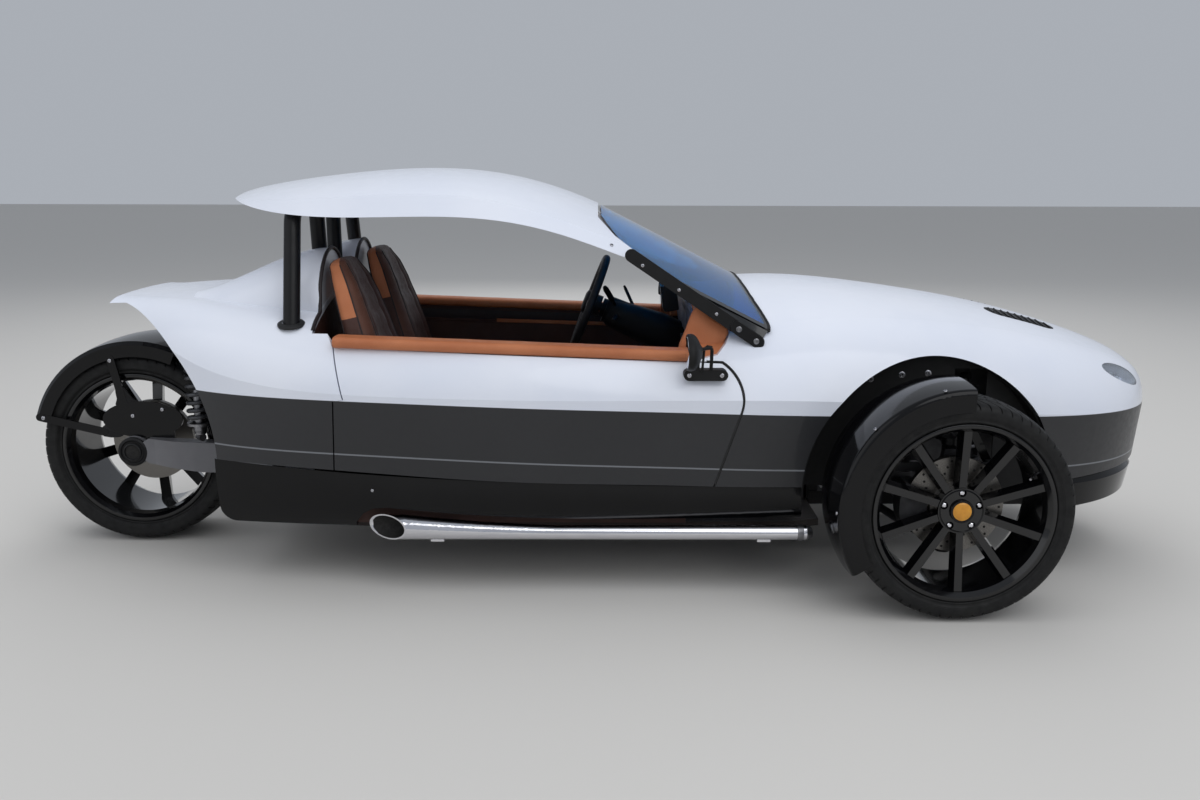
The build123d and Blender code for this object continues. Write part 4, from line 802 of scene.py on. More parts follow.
def make_seat_back(side, s):
    rings = []
    for i in range(BACK_ROWS + 1):
        height = BACK_HIGH * i / BACK_ROWS
        rings.append([seat_back_point(s, height, 2 * pi * j / BACK_COLS) for j in range(BACK_COLS)])
    for scale, lift in ((0.86, 0.010), (0.60, 0.0165), (0.25, 0.0195)):
        rings.append([p + BACK_UP * lift for p in drawn_in(rings[BACK_ROWS], scale)])
    shape = Shape()
    shape.rings(rings)
    kinds = []
    for i in range(len(rings) - 1):
        height = BACK_HIGH * (min(i, BACK_ROWS - 1) + 0.5) / BACK_ROWS
        kinds += [back_kind(height, 2 * pi * (j + 0.5) / BACK_COLS) for j in range(BACK_COLS)]
    shape.kinds = kinds + [2, 0]
    leathers = ("leather_brown", "leather_tan", "leather_dark", "leather_mid")
    piece = shape.piece(f"{side}_seat_back_cover", "body", leathers, slot="leather_brown")
    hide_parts(f"{side}_seat_back")
    piping = Shape()
    middle = BACK_FOOT + Vector((0, s * SEAT_Y, 0)) + BACK_UP * 0.3 + BACK_REAR * 0.01
    for turn in (PANEL_FRONT, -PANEL_FRONT, PANEL_REAR, -PANEL_REAR, WING_FRONT, -WING_FRONT):
        seam = []
        for k in range(41):
            p = seat_back_point(s, BACK_HIGH * k / 40, turn)
            out = (p - middle) - BACK_UP * (p - middle).dot(BACK_UP)
            seam.append(p + out.normalized() * 0.0004)
        piping.tube(seam, 0.0022, sides=8)
    piping.piece(f"{side}_seat_back_piping", "body", "leather_dark", slot="leather_brown")


CUSHION = [
    # x from the front axle, low z, top z
    (-1.688, 0.194, 0.300), (-1.660, 0.192, 0.322), (-1.560, 0.192, 0.332), (-1.440, 0.192, 0.344),
    (-1.320, 0.192, 0.356), (-1.230, 0.192, 0.366), (-1.190, 0.196, 0.366), (-1.165, 0.230, 0.352),
    (-1.156, 0.262, 0.318),
]
CUSHION_HALF = 0.202
CUSHION_SQUARE = 0.45
CUSHION_CHANNEL = 0.085
CUSHION_ROWS = 40
CUSHION_COLS = 80


def make_cushion(side, s):
    rings = []
    rear, front = CUSHION[0][0], CUSHION[-1][0]
    for i in range(CUSHION_ROWS + 1):
        x = rear + (front - rear) * i / CUSHION_ROWS
        low, top = between(CUSHION, x)
        half_w = CUSHION_HALF * (1 - 0.035 * abs(2 * i / CUSHION_ROWS - 1) ** 4)
        ring = []
        for j in range(CUSHION_COLS):
            t = 2 * pi * j / CUSHION_COLS
            across = bulged(sin(t), CUSHION_SQUARE)
            up = bulged(cos(t), CUSHION_SQUARE) * (top - low) / 2
            share = abs(across)
            if cos(t) > 0:
                up += (bump_at(share, 0.80, 0.3) - bump_at(share, 0.54, 0.05)) * 0.006
                up -= bump_at(share, 0.0, 0.55) * 0.006
                if share < 0.5:
                    up -= channel_at(x - rear, CUSHION_CHANNEL) * 0.004
            ring.append(Vector((x_at(x), s * SEAT_Y + across * half_w, (low + top) / 2 + up)))
        rings.append(ring)
    shape = Shape()
    shape.rings(rings)
    column_kinds = []
    for j in range(CUSHION_COLS):
        t = abs((2 * pi * (j + 0.5) / CUSHION_COLS + pi) % (2 * pi) - pi)
        column_kinds.append(0 if t < radians(38) else (1 if t < radians(80) else 2))
    shape.kinds = column_kinds * CUSHION_ROWS + [2, 2]
    leathers = ("leather_brown", "leather_mid", "leather_dark")
    piece = shape.piece(f"{side}_seat_cushion_cover", "body", leathers, slot="leather_brown")
    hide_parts(f"{side}_seat_cushion")


for side, s in SIDES:
    make_seat_back(side, s)
    make_cushion(side, s)


# Bolsters: the pads on the walls' tops, softened from their solids
def softened(name, node, finish, voxel, rounds):
    mesh = NODES[node].data.copy()
    piece = bpy.data.objects.new(name, mesh)
    bpy.context.scene.collection.objects.link(piece)
    remesh = piece.modifiers.new("remesh", "REMESH")
    remesh.mode = "VOXEL"
    remesh.voxel_size = voxel
    ease = piece.modifiers.new("ease", "SMOOTH")
    ease.factor = 0.5
    ease.iterations = rounds
    depsgraph = bpy.context.evaluated_depsgraph_get()
    final = bpy.data.meshes.new_from_object(piece.evaluated_get(depsgraph))
    piece.modifiers.clear()
    piece.data = final
    final.name = name
    final.materials.clear()
    final.materials.append(MATERIALS[finish])
    final.shade_smooth()
    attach(piece, "body")
    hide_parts(node)


softened("bolster_pads", "bolsters", "leather_tan", 0.006, 5)

# Seam: a rubber seal along the front seam of each flank, as x from the front axle and z
SEAM_START = ((-0.738, 0.7065), (-0.700, 0.705))
SEAM_BEND = ((-0.652, 0.703), (-0.618, 0.672), (-0.600, 0.560))
SEAM_FOOT = (-0.688, 0.290)
SEAM_HALF_GAP = 0.0015


def arc_points(a, b, c, steps):
    """Points on the circle through three places, from the first to the last."""
    a, b, c = Vector(a), Vector(b), Vector(c)
    d = 2 * (a.x * (b.y - c.y) + b.x * (c.y - a.y) + c.x * (a.y - b.y))
    ux = (a.dot(a) * (b.y - c.y) + b.dot(b) * (c.y - a.y) + c.dot(c) * (a.y - b.y)) / d
    uy = (a.dot(a) * (c.x - b.x) + b.dot(b) * (a.x - c.x) + c.dot(c) * (b.x - a.x)) / d
    centre = Vector((ux, uy))
    sweep = (a - centre).angle_signed(c - centre)
    out = []
    for i in range(steps + 1):
        spoke = a - centre
        spoke.rotate(Matrix.Rotation(-sweep * i / steps, 2))
        out.append(centre + spoke)
    return out


def seal_points(s, names):
    """The front seam on one flank, as places on the surface beside it."""
    bend = arc_points(*SEAM_BEND, 16)
    run = [Vector(p) for p in SEAM_START] + bend
    run += [bend[-1].lerp(Vector(SEAM_FOOT), k / 10) for k in range(1, 9)]
    laid = []
    for p in run:
        near, _ = on_side(s, x_at(p.x) + 0.006, p.y, *names)
        back, _ = on_side(s, x_at(p.x) - 0.008, p.y - 0.003, *names)
        found = [q for q in (near, back) if q is not None and q.y * s > 0.3]
        if found:
            y = max(abs(q.y) for q in found)
            laid.append(Vector((x_at(p.x) - SEAM_HALF_GAP, s * (y - 0.0010), p.y)))
    return laid


for side, s in SIDES:
    seal = Shape()
    seal.tube(seal_points(s, ("front_body", f"{side}_side_panel")), 0.0038)
    seal.piece(f"{side}_front_seal", "body", "rubber", slot="black_plastic")

# Screen rails and roof: screws along each rail and in the roof's front corner
RAIL_OUT_Y = 0.5480
screws = Shape()
for side, s in SIDES:
    for x, z in ((-0.8895, 0.9815), (-0.7823, 0.9105), (-0.671, 0.8399)):
        screws.bolt((x_at(x), s * RAIL_OUT_Y, z), (0, s, 0), 0.0050, 0.0025)
    hit, normal = on_side(s, x_at(-0.980), 1.0368, "roof_cap")
    screws.bolt(hit, normal, 0.0055, 0.003)
screws.piece("screen_rail_screws", "body", "bolt_steel", slot="steel")

# Screen rails' lower ends: a rounded plate on the body's outside, held by two large screws
RAIL_END = ((-0.612, 0.802), (-0.546, 0.756))
RAIL_HALF_W = 0.0185
RAIL_BOLTS = ((-0.604, 0.7957), (-0.5522, 0.7600))
plates = Shape()
for side, s in SIDES:
    outside = RAIL_OUT_Y
    for x, z in RAIL_BOLTS:
        hit, _ = on_side(s, x_at(x), z, "front_body")
        if hit is not None and 0.5 < hit.y * s < 0.64:
            outside = max(outside, hit.y * s + 0.004)
    high, low = [Vector((x_at(x), 0, z)) for x, z in RAIL_END]
    lead = (low - high).normalized() * RAIL_HALF_W
    aside = Vector((-lead.z, 0, lead.x))
    rim = []
    for end, start in ((low, pi / 2), (high, -pi / 2)):
        turns = [start - pi * k / 16 for k in range(17)]
        rim += [end + lead * cos(t) + aside * sin(t) for t in turns]
    plates.kind = 0
    plates.slab(rim, [(1.0, s * 0.530), (1.0, s * (outside + 0.002)), (0.965, s * (outside + 0.004))])
    plates.kind = 1
    for x, z in RAIL_BOLTS:
        plates.bolt((x_at(x), s * (outside + 0.0036), z), (0, s, 0), 0.0088, 0.004)
plates.piece("rail_end_plates", "body", ("black_metal", "steel"), slot="black_metal")

# Arch liners and fenders: cup washers, screws and the rear plate's bolts
CUP_WASHER = [
    # distance along the axis, radius
    (0, 0.0098), (0.0015, 0.0098), (0.0022, 0.0075), (0.0022, 0.0045), (0.0008, 0.0040), (0.0008, 0.0001),
]
FENDER_SCREW_R = FRONT_TYRE_R + 0.0375
arch = Shape()
for side, s in SIDES:
    for x, z in ((-0.1809, 0.6266), (-0.0847, 0.6402), (-0.0047, 0.6451)):
        arch.turned((x_at(x), s * 0.4360, z), (0, s, 0), CUP_WASHER, steps=24)
    fender = Shape()
    for angle in (102.6, 137.2, 179.3):
        c, w = cos(radians(angle)), sin(radians(angle))
        place = (x_at(c * FENDER_SCREW_R), s * (FRONT_WHEEL_Y + 0.112), FRONT_TYRE_R + w * FENDER_SCREW_R)
        fender.bolt(place, (c, s * 0.12, w), 0.0055, 0.0035)
    fender.piece(f"{side}_fender_screws", f"{side}_knuckle", "bolt_steel", slot="steel")
arch.piece("arch_screws", "body", "bolt_steel", slot="steel")

tail = Shape()
for x, z in ((-0.062, 0.305), (-0.300, 0.110), (0.10, 0.140), (0.0, 0.118)):
    tail.bolt((REAR_AXLE_X + x, -0.1580, REAR_TYRE_R + z), (0, -1, 0), 0.0065, 0.004)
tail.piece("fender_bolts", "body", "bolt_steel", slot="steel")

# Rear fender: webs that join its flat struts to the plate over the brake
WEBS = [
    # x and z from the rear axle
    [(-0.108, 0.078), (-0.062, 0.104), (-0.030, 0.092), (-0.034, 0.058), (-0.052, 0.044), (-0.104, 0.047)],
    [(-0.053, 0.214), (-0.028, 0.220), (0.004, 0.176), (0.030, 0.160), (-0.052, 0.146), (-0.050, 0.176)],
]
WEB_LEVELS = ((0.02, 0.0062), (0.97, 0.0062), (1.0, 0.0052), (1.0, 0.0018), (0.97, 0.0008), (0.02, 0.0008))
webs = Shape()
hit, _ = on_side(-1, REAR_AXLE_X - 0.200, REAR_TYRE_R + 0.086, "rear_fender")
for web in WEBS:
    rim = smooth_line([(REAR_AXLE_X + x, 0, REAR_TYRE_R + z) for x, z in web], 2, loop=True)
    webs.slab(rim, [(scale, hit.y + inward) for scale, inward in WEB_LEVELS])
webs.piece("fender_webs", "body", "black_metal", slot="black_metal")

# Swing arm's hub: a stepped cap with a ring and a dark middle
HUB_CAP = [
    # kind, profile
    (0, [(-0.004, 0.049), (0.004, 0.049), (0.007, 0.046), (0.008, 0.040), (0.004, 0.036), (0.004, 0.030)]),
    (1, [(0.004, 0.030), (0.009, 0.029), (0.010, 0.0265), (0.006, 0.0235)]),
    (2, [(0.006, 0.0235), (0.0065, 0.012), (0.0070, 0.0001)]),
]
hub = Shape()
for kind, profile in HUB_CAP:
    hub.kind = kind
    hub.turned((REAR_AXLE_X, -0.178, REAR_TYRE_R), (0, -1, 0), profile, steps=48)
hub.piece("hub_cap", "body", ("black_metal", "dark_bolt", "soot"), slot="black_metal")

# Headlamps: a pale bowl with three bright rings behind each lens; the bowl and the domes are painted white as
# painted reflection, the lamp's bright shine
LAMP_AIM = radians(56)
LAMP_TILT = 0.45
LAMP_DROOP = radians(18)
LAMP_HALF = (0.094, 0.030)
lamps = Shape()
for side, s in SIDES:
    out = Vector((cos(LAMP_AIM), s * sin(LAMP_AIM), LAMP_TILT)).normalized()
    along = Vector((sin(LAMP_AIM), -s * cos(LAMP_AIM), 0)).normalized()
    up = out.cross(along) * -s
    long_axis = along * cos(LAMP_DROOP) - up * sin(LAMP_DROOP)
    short_axis = along * sin(LAMP_DROOP) + up * cos(LAMP_DROOP)
    centre = Vector((x_at(0.645), s * 0.300, 0.618)) - out * 0.026
    lamps.kind = 0
    rings = []
    for scale, depth in ((0.99, 0.012), (0.97, -0.004), (0.80, -0.018), (0.4, -0.024), (0.02, -0.026)):
        wide, high = long_axis * (LAMP_HALF[0] * scale), short_axis * (LAMP_HALF[1] * scale)
        rings.append(oval(centre + out * depth, wide, high, 40))
    lamps.rings(rings, caps=False)
    for kind, shift, size in ((1, 0.030, 0.017), (1, -0.020, 0.015), (2, -0.058, 0.010)):
        place = centre + long_axis * shift
        ring = [(0, size), (0.010, size), (0.013, size * 0.9), (0.014, size * 0.75), (0.012, size * 0.6)]
        lamps.kind = kind
        lamps.turned(place - out * 0.020, out, ring, steps=28)
        dome = [(0, size * 0.62), (0.004, size * 0.55), (0.006, size * 0.3), (0.0065, 0.0001)]
        lamps.kind = 2
        lamps.turned(place - out * 0.012, out, dome, steps=28)
lamps.piece("headlamp_bodies", "body", ("lamp_white", "lamp_silver", "lamp_white"), slot="gloss_black")

# Grille: a fine mesh behind the bars, inside a mouth with round ends
GRILLE_Z = 0.440
GRILLE_FLAT = 0.15
GRILLE_END_R = 0.060
GRILLE_STEP = 0.009
GRILLE_WIRE_R = 0.0009


def grille_depth(y):
    return x_at(0.752) - 1.8 * y * y


def round_end(across):
    """Half the mouth's size at a distance into its round ends."""
    return sqrt(max(0.0, GRILLE_END_R ** 2 - across ** 2))


grille = Shape()
for i in range(-21, 22):
    y = i * GRILLE_STEP
    reach = round_end(max(0.0, abs(y) - GRILLE_FLAT))
    if reach > 0.004:
        grille.tube([(grille_depth(y), y, GRILLE_Z + z) for z in (-reach, reach)], GRILLE_WIRE_R, sides=4)
for k in range(-6, 7):
    reach = GRILLE_FLAT + round_end(k * GRILLE_STEP)
    ys = [reach * (j / 8 - 1) for j in range(17)]
    grille.tube([(grille_depth(y), y, GRILLE_Z + k * GRILLE_STEP) for y in ys], GRILLE_WIRE_R, sides=4)
grille.piece("grille_mesh", "body", "dark_bolt", slot="black_plastic")

# Bonnet vents: slats across each dark insert
VENT_Y = 0.150
SLAT_PITCH = 0.0235
slats = Shape()
for side, s in SIDES:
    for k in range(-4, 5):
        half = 0.040 if abs(k) < 4 else 0.026
        x = x_at(0.368) + k * SLAT_PITCH
        line = []
        for y, lift in ((-half, 0.0012), (0, 0.0014), (half, 0.0012)):
            hit, normal = on_top(x, s * VENT_Y + y, "bonnet_vents")
            line.append(hit + normal * lift)
        slats.tube(line, 0.0028, sides=8)
slats.piece("vent_slats", "body", "gloss_black", slot="black_plastic")

# Cockpit: trims inside the walls, the dashboard's roll and fittings
TRIM_Y = 0.5400
TRIM_FLOOR_Z = 0.196
TRIM_ROWS = 36
TRIM_LEVELS = [
    # share down from the top, how far it stands in from the wall
    (0.00, 0.0035), (0.03, 0.0070), (0.060, 0.0050), (0.066, 0.0095), (0.082, 0.0095), (0.088, 0.0050),
    (0.30, 0.0070), (0.60, 0.0060), (1.00, 0.0045),
]
trim = Shape()
trim_kinds = []
for side, s in SIDES:
    rings = []
    for i in range(TRIM_ROWS + 1):
        share = i / TRIM_ROWS
        top = 0.730 - 0.033 * share
        x = x_at(-1.790 + 1.04 * share)
        rings.append([Vector((x, s * (TRIM_Y - stand), top + (TRIM_FLOOR_Z - top) * down))
                      for down, stand in TRIM_LEVELS])
    trim.rings(rings, closed=False)
    for i in range(TRIM_ROWS):
        has_roll = 0.37 < (i + 0.5) / TRIM_ROWS < 0.93
        for j in range(len(TRIM_LEVELS) - 1):
            trim_kinds.append(0 if has_roll and j in (2, 3, 4) else (1 if j < 3 else 2))
trim.kinds = trim_kinds
trim.piece("door_trims", "body", ("leather_tan", "leather_dark", "leather_brown"), slot="leather_brown")

KNOB = [(0, 0.0145), (0.010, 0.0135), (0.012, 0.0120), (0.0125, 0.0001)]
dash = Shape()
dash.tube([(x_at(-0.706), -0.450 + 0.900 * k / 24, 0.838) for k in range(25)], 0.021, sides=16, flat=0.75)
dash.kind = 1
for y in (-0.30, 0.02):
    dash.box((x_at(-0.724), y, 0.772), (0.004, 0.235, 0.062), bevel=0.0015)
dash.kind = 2
for k in range(4):
    dash.turned((x_at(-0.727), -0.165 + 0.037 * k, 0.700), (-1, 0, -0.1), KNOB, steps=24)
dash.piece("dash_trim", "body", ("leather_tan", "dash_grey", "black_plastic"), slot="black_plastic")

DIAL_PLACE = (x_at(-0.745), 0.272, 0.862)
DIAL_AXIS = (-1, 0, 0.15)
DIAL_RIM = [(0, 0.060), (0.030, 0.062), (0.045, 0.058), (0.047, 0.050), (0.040, 0.047)]
pods = Shape()
turn = Matrix.Rotation(radians(-8), 3, "Y")
pods.box((x_at(-0.778), -0.050, 0.836), (0.050, 0.090, 0.088), turn=turn, bevel=0.008)
pods.turned(DIAL_PLACE, DIAL_AXIS, DIAL_RIM, steps=40)
pods.kind = 1
pods.box((x_at(-0.8040), -0.050, 0.838), (0.004, 0.080, 0.078), turn=turn, bevel=0.0015)
pods.kind = 2
pods.turned(DIAL_PLACE, DIAL_AXIS, [DIAL_RIM[-1], (0.040, 0.0001)], steps=40)
pods.piece("dash_pods", "body", ("black_plastic", "ribbed_black", "gloss_black"), slot="black_plastic")

# Steering wheel: a stitched rim seam, spoke pads and the centre
STEER_LEAN = radians(21)
STEER_HUB = Vector((x_at(-1.049), 0.270, 0.781))
STEER_AXIS = Vector((cos(STEER_LEAN), 0, -sin(STEER_LEAN)))
STEER_UP = Vector((sin(STEER_LEAN), 0, cos(STEER_LEAN)))
STEER_R = 0.1565
ACROSS = Vector((0, 1, 0))
STEER_CENTRE = [(-0.01, 0.044), (0.004, 0.044), (0.010, 0.040), (0.014, 0.028), (0.015, 0.0001)]
wheel = Shape()
seam = oval(STEER_HUB - STEER_AXIS * 0.002, ACROSS * STEER_R, STEER_UP * STEER_R, 72)
wheel.tube(seam, 0.0012, sides=6, loop=True)
wheel.kind = 1
for angle in (0, 180, 270):
    out = ACROSS * cos(radians(angle)) + STEER_UP * sin(radians(angle))
    turn = Matrix((out, STEER_AXIS.cross(out), STEER_AXIS)).transposed()
    place = STEER_HUB + out * 0.092 - STEER_AXIS * 0.0095
    wheel.box(place, (0.085, 0.020, 0.004), turn=turn, bevel=0.0015)
wheel.kind = 2
wheel.turned(STEER_HUB - STEER_AXIS * 0.010, -STEER_AXIS, STEER_CENTRE, steps=40)
finishes = ("dark_thread", "dark_bolt", "leather_black")
wheel.piece("wheel_pads", "steering_wheel", finishes, slot="leather_black")

# Steering column: a squared shroud and a stalk on each side
SHROUD = [
    # distance along the column, half width, half height
    (0.0, 0.046, 0.040), (0.012, 0.055, 0.050), (0.10, 0.060, 0.058), (0.20, 0.064, 0.066),
    (0.27, 0.060, 0.062), (0.30, 0.050, 0.052),
]
STALKS = [
    # side, distance along the column, rise of the tip, radius of the grip
    (-1, 0.100, 0.072, 0.0105), (1, 0.180, 0.085, 0.006),
]
shroud = Shape()
start = STEER_HUB + STEER_AXIS * 0.070 - STEER_UP * 0.006
shroud.rings([oval(start + STEER_AXIS * along, ACROSS * wide, STEER_UP * high, 32, 0.7)
              for along, wide, high in SHROUD])
for s, along, rise, grip in STALKS:
    root = STEER_HUB + STEER_AXIS * along + Vector((0, s * 0.042, 0.030))
    tip = root + Vector((-0.040, s * 0.060, rise))
    stalk = smooth_line([root, root.lerp(tip, 0.4), tip], 5)
    shroud.tube(stalk, [0.006] * 4 + [grip] * 6 + [grip * 0.7], sides=12)
shroud.piece("column_shroud", "body", "black_plastic", slot="black_plastic")

# Mirrors: a glass in each head's rear face, the foot's screws and a stay
MIRROR_FOOT_X = x_at(-0.708)
MIRROR_STAY = [
    # x from the foot, y, z
    (-0.012, 0.650, 0.682), (-0.008, 0.668, 0.757), (0.000, 0.669, 0.763), (0.014, 0.669, 0.760),
]
mirrors = Shape()
for side, s in SIDES:
    rings = []
    for scale, depth in ((1.0, 0.0), (0.97, 0.0012), (0.5, 0.0014), (0.01, 0.0015)):
        centre = Vector((x_at(-0.768) - depth, s * 0.702, 0.750))
        rings.append(oval(centre, Vector((0, 0.069 * scale, 0)), Vector((0, 0, 0.044 * scale)), 40))
    mirrors.kind = 0
    mirrors.rings(rings, caps=False)
    mirrors.kind = 1
    for dx in (-0.048, 0.046):
        mirrors.bolt((MIRROR_FOOT_X + dx, s * 0.6520, 0.675), (0, s, 0), 0.0065, 0.003)
    mirrors.kind = 2
    mirrors.tube([(MIRROR_FOOT_X + dx, s * y, z) for dx, y, z in MIRROR_STAY], 0.0038)
mirrors.piece("mirror_glasses", "body", ("mirror_glass", "bolt_steel", "black_plastic"), slot="black_plastic")

# Exhausts: a sooty bore behind each slashed tip, and a clamp and an end at the pipe's front
PIPE_Y = 0.600
PIPE_FRONT_Z = 0.186
CLAMP = [(0, 0.0222), (0.001, 0.0245), (0.018, 0.0245), (0.019, 0.0222)]
PIPE_END = [(0, 0.0220), (0.010, 0.0200), (0.018, 0.0140), (0.021, 0.0001)]
pipes = Shape()
for side, s in SIDES:
    rings = []
    for along, r in ((0.0, 0.0338), (0.12, 0.0338), (0.135, 0.020), (0.136, 0.001)):
        centre = Vector((x_at(-1.700) + along, s * PIPE_Y, 0.202))
        ring = oval(centre, Vector((0, r, 0)), Vector((0, 0, r)), 36)
        if along == 0:
            for p in ring:
                p.x += max(0.0, (s * p.y - PIPE_Y + 0.038) / 0.076 * 0.124 - 0.010)
        rings.append(ring)
    pipes.kind = 0
    pipes.rings(rings, caps=False)
    pipes.kind = 1
    pipes.turned((x_at(-0.420), s * PIPE_Y, PIPE_FRONT_Z), (1, 0, 0), CLAMP)
    pipes.turned((x_at(-0.392), s * PIPE_Y, PIPE_FRONT_Z), (1, 0, 0), PIPE_END)
pipes.piece("exhaust_details", "body", ("soot", "steel"), slot="chrome")

# Roll hoop feet: a dark flange on the body round each tube
FOOT_FLANGE = [(0, 0.040), (0.006, 0.0405), (0.009, 0.037), (0.012, 0.027)]
feet = Shape()
for side, s in SIDES:
    for y in (0.506, 0.100):
        hit, normal = on_top(x_at(-1.934), s * y, "rear_body")
        feet.turned(hit - normal * 0.004, normal + Vector((0, 0, 1)), FOOT_FLANGE, steps=40)
feet.piece("hoop_feet", "body", "rubber", slot="black_plastic")

# Filler cap on the far rear deck
FILLER = [(0, 0.045), (0.009, 0.045), (0.014, 0.041), (0.015, 0.034), (0.013, 0.032), (0.013, 0.0001)]
filler = Shape()
hit, normal = on_top(x_at(-2.02), 0.42, "rear_body")
filler.turned(hit - normal * 0.003, normal, FILLER, steps=48)
filler.piece("filler_cap", "body", "gloss_black", slot="gloss_black")

# Windscreen: one curved pane from the cowl up under the roof's front edge, with a dark border
GLASS_FOOT = Vector((x_at(-0.572), 0, 0.911))
GLASS_TOP = Vector((x_at(-1.015), 0, 1.136))
GLASS_RISE = (GLASS_TOP - GLASS_FOOT).normalized()
GLASS_OUT = Vector((GLASS_RISE.z, 0, -GLASS_RISE.x))
GLASS_CHORD = 0.528
GLASS_SAG = 0.092
GLASS_R = (GLASS_CHORD ** 2 + GLASS_SAG ** 2) / (2 * GLASS_SAG)
GLASS_HALF_W = 0.5125
GLASS_T = 0.006
BORDER = 0.016
PANE_COLS, PANE_ROWS = 48, 26


def pane_point(across, up, lift=0.0):
    """A place on the pane: y, distance up its slope from the cowl, and height over its inner face."""
    spoke = Vector((0, across, 0)) + GLASS_OUT * sqrt(GLASS_R ** 2 - across ** 2)
    return GLASS_FOOT + GLASS_RISE * up + spoke - GLASS_OUT * GLASS_R + spoke.normalized() * lift


def pane_reach(across):
    """Where the pane starts at the cowl and where the roof covers it, at a place across the car."""
    glass_tree, roof_tree = tree_of("windscreen"), tree_of("roof_cap")
    low, high = 0.0, 0.50
    for k in range(100):
        up = -0.110 + 0.004 * k
        if glass_tree.ray_cast(pane_point(across, up, 0.03), -GLASS_OUT, 0.06)[0] is not None:
            low = up
            break
    edge = max(-0.497, min(0.497, across))
    for k in range(90):
        up = 0.30 + 0.003 * k
        if roof_tree.ray_cast(pane_point(edge, up, -0.04), Vector((0, 0, 1)), 0.12)[0] is not None:
            high = up + 0.010
            break
    return low, high


def make_windscreen():
    foot_line, grid = [], []
    for i in range(PANE_COLS + 1):
        across = GLASS_HALF_W * (2 * i / PANE_COLS - 1)
        low, high = pane_reach(across)
        foot_line.append(pane_point(across, low, 0.003))
        shares = [0.0, BORDER / (high - low)] + [k / PANE_ROWS for k in range(2, PANE_ROWS + 1)]
        grid += [(across, low + (high - low) * share) for share in shares]
    rows, count = PANE_ROWS + 1, len(grid)
    faces, kinds = [], []
    for layer in (0, count):
        for i in range(PANE_COLS):
            for j in range(rows - 1):
                a = layer + i * rows + j
                faces.append((a, a + 1, a + rows + 1, a + rows))
                kinds.append(1 if j == 0 or i in (0, PANE_COLS - 1) else 0)
    rim = [i * rows for i in range(PANE_COLS + 1)] + [PANE_COLS * rows + j for j in range(1, rows)]
    rim += [i * rows + rows - 1 for i in range(PANE_COLS - 1, -1, -1)] + list(range(rows - 2, 0, -1))
    faces += [(a, b, b + count, a + count) for a, b in zip(rim, rim[1:] + rim[:1])]
    pane = Shape()
    pane.take([pane_point(across, up, lift) for lift in (GLASS_T, 0.0) for across, up in grid], faces)
    pane.kinds = kinds + [1] * len(rim)
    piece = pane.piece("windscreen_pane", "body", ("glass", "frit"), slot="glass")
    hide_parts("windscreen")
    seal = Shape()
    seal.tube(foot_line, 0.0065)
    seal.piece("screen_seal", "body", "rubber", slot="black_plastic")


make_windscreen()

# Flange that closes the wedge between each rail and the pane's side, as x from the front axle and z
RAIL_LOW = Vector((-0.546, 0.757))
RAIL_TOP = Vector((-0.922, 1.010))
RAIL_SLOPE = (RAIL_TOP.y - RAIL_LOW.y) / (RAIL_TOP.x - RAIL_LOW.x)
RAIL_HALF_EDGE = 0.0114 * sqrt(1 + RAIL_SLOPE ** 2)
flanges = Shape()
for side, s in SIDES:
    low, high = pane_reach(s * GLASS_HALF_W)
    rings = []
    for k in range(25):
        edge = pane_point(s * (GLASS_HALF_W - 0.002), low + (high - low) * k / 24, 0.002)
        x = min(edge.x - FRONT_AXLE_X, RAIL_LOW.x + 0.012)
        z = RAIL_LOW.y + RAIL_SLOPE * (x - RAIL_LOW.x) + RAIL_HALF_EDGE
        seat = Vector((x_at(x), s * 0.5335, min(z, edge.z)))
        fall = Vector((0, -s * 0.0015, -0.0025))
        rings.append([edge, seat, seat + fall, edge + fall])
    flanges.rings(rings)
flanges.piece("rail_flanges", "body", "frit", slot="black_metal")

# Cheeks: a tan pad on each side between the wall's top, the dashboard and the screen's rail
CHEEK = [
    # x from the front axle, z
    (-0.728, 0.856), (-0.680, 0.824), (-0.632, 0.790), (-0.640, 0.758), (-0.662, 0.732), (-0.690, 0.713),
    (-0.735, 0.700), (-0.768, 0.704), (-0.778, 0.735), (-0.762, 0.780),
]
CHEEK_LEVELS = [
    # scale of the rim, y
    (0.97, 0.496), (1.0, 0.500), (1.0, 0.507), (0.97, 0.5115), (0.90, 0.5140), (0.5, 0.5155), (0.02, 0.5160),
]
cheeks = Shape()
cheek_rim = smooth_line([(x_at(x), 0, z) for x, z in CHEEK], 6, loop=True)
for side, s in SIDES:
    cheeks.slab(cheek_rim, [(scale, s * y) for scale, y in CHEEK_LEVELS])
piece = cheeks.piece("cheek_pads", "body", "leather_tan", slot="leather_tan")

# Cockpit's rear edge: a dark padded lip over the body's shoulders and fairings
lip = Shape()
lip_line = []
for k in range(55):
    y = -0.530 + 1.060 * k / 54
    hit, _ = on_top(x_at(-1.8705), y, "rear_body")
    lip_line.append(Vector((x_at(-1.8645), y, hit.z + 0.0005)))
lip.tube(lip_line, 0.0060)
lip.piece("cockpit_rear_lip", "body", "leather_dark", slot="leather_black")

# Small fastener low on each skirt
clips = Shape()
for side, s in SIDES:
    hit, normal = on_side(s, x_at(-1.690), 0.318, "skirts")
    clips.bolt(hit, normal, 0.0045, 0.0022)
clips.piece("skirt_screws", "body", "bolt_steel", slot="steel")

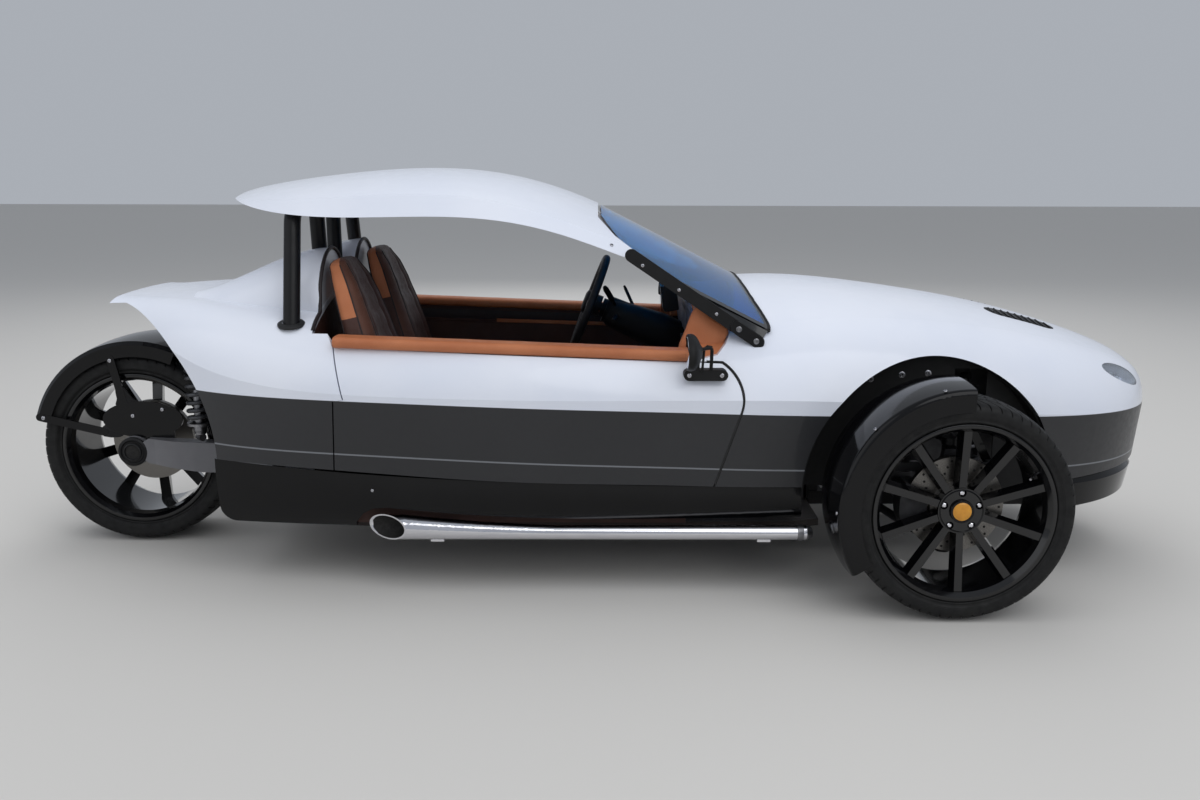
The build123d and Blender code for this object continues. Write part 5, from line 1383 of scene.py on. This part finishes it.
# Tail lamps: a thin dark bezel round each lens
TAIL_HALF_W = 0.0845
TAIL_END_R = 0.007
bezel = Shape()
for side, s in SIDES:
    loop = []
    for j in range(48):
        c, w = cos(2 * pi * j / 48), sin(2 * pi * j / 48)
        y = s * 0.130 + copysign(TAIL_HALF_W, c) + c * TAIL_END_R
        loop.append((x_at(-2.5605), y, 0.848 + w * TAIL_END_R))
    bezel.tube(loop, 0.0014, sides=6, loop=True)
bezel.piece("tail_lamp_bezels", "body", "gloss_black", slot="gloss_black")

# Studio: a pale floor, a pale surround and broad soft lamps
FLOOR_COLOUR = (0.60, 0.585, 0.56, 1)
WORLD_COLOUR = (0.80, 0.85, 0.93, 1)
WORLD_LEVEL = 0.50
LAMPS = [
    # name, place, size, power, whether reflections show it
    ("key", (3.5, -6.0, 6.5), 9.0, 285, True),
    ("fill", (-5.5, -4.0, 4.0), 8.5, 90, True),
    ("top", (-0.3, 0.8, 7.0), 9.0, 205, False),
    ("far_side", (0.0, 7.0, 4.5), 6.0, 120, False),
]


def make_studio():
    for name, place, size, power, mirrored in LAMPS:
        data = bpy.data.lights.new(name, "AREA")
        data.shape = "DISK"
        data.size = size
        data.energy = power
        lamp = bpy.data.objects.new(name, data)
        bpy.context.scene.collection.objects.link(lamp)
        lamp.location = place
        lamp.visible_glossy = mirrored
        lamp.rotation_euler = (Vector((0, 0, 0.5)) - Vector(place)).to_track_quat("-Z", "Y").to_euler()
    world = bpy.data.worlds.new("studio")
    world.use_nodes = True
    world.node_tree.nodes["Background"].inputs["Color"].default_value = WORLD_COLOUR
    world.node_tree.nodes["Background"].inputs["Strength"].default_value = WORLD_LEVEL
    bpy.context.scene.world = world
    mesh = bpy.data.meshes.new("floor")
    mesh.from_pydata([(-40, -40, 0), (40, -40, 0), (40, 40, 0), (-40, 40, 0)], [], [(0, 1, 2, 3)])
    floor = bpy.data.objects.new("floor", mesh)
    bpy.context.scene.collection.objects.link(floor)
    mat = bpy.data.materials.new("floor")
    mat.use_nodes = True
    shader = mat.node_tree.nodes["Principled BSDF"]
    shader.inputs["Base Color"].default_value = FLOOR_COLOUR
    shader.inputs["Roughness"].default_value = 0.8
    mesh.materials.append(mat)
    bpy.context.scene.view_settings.view_transform = "Standard"


make_studio()
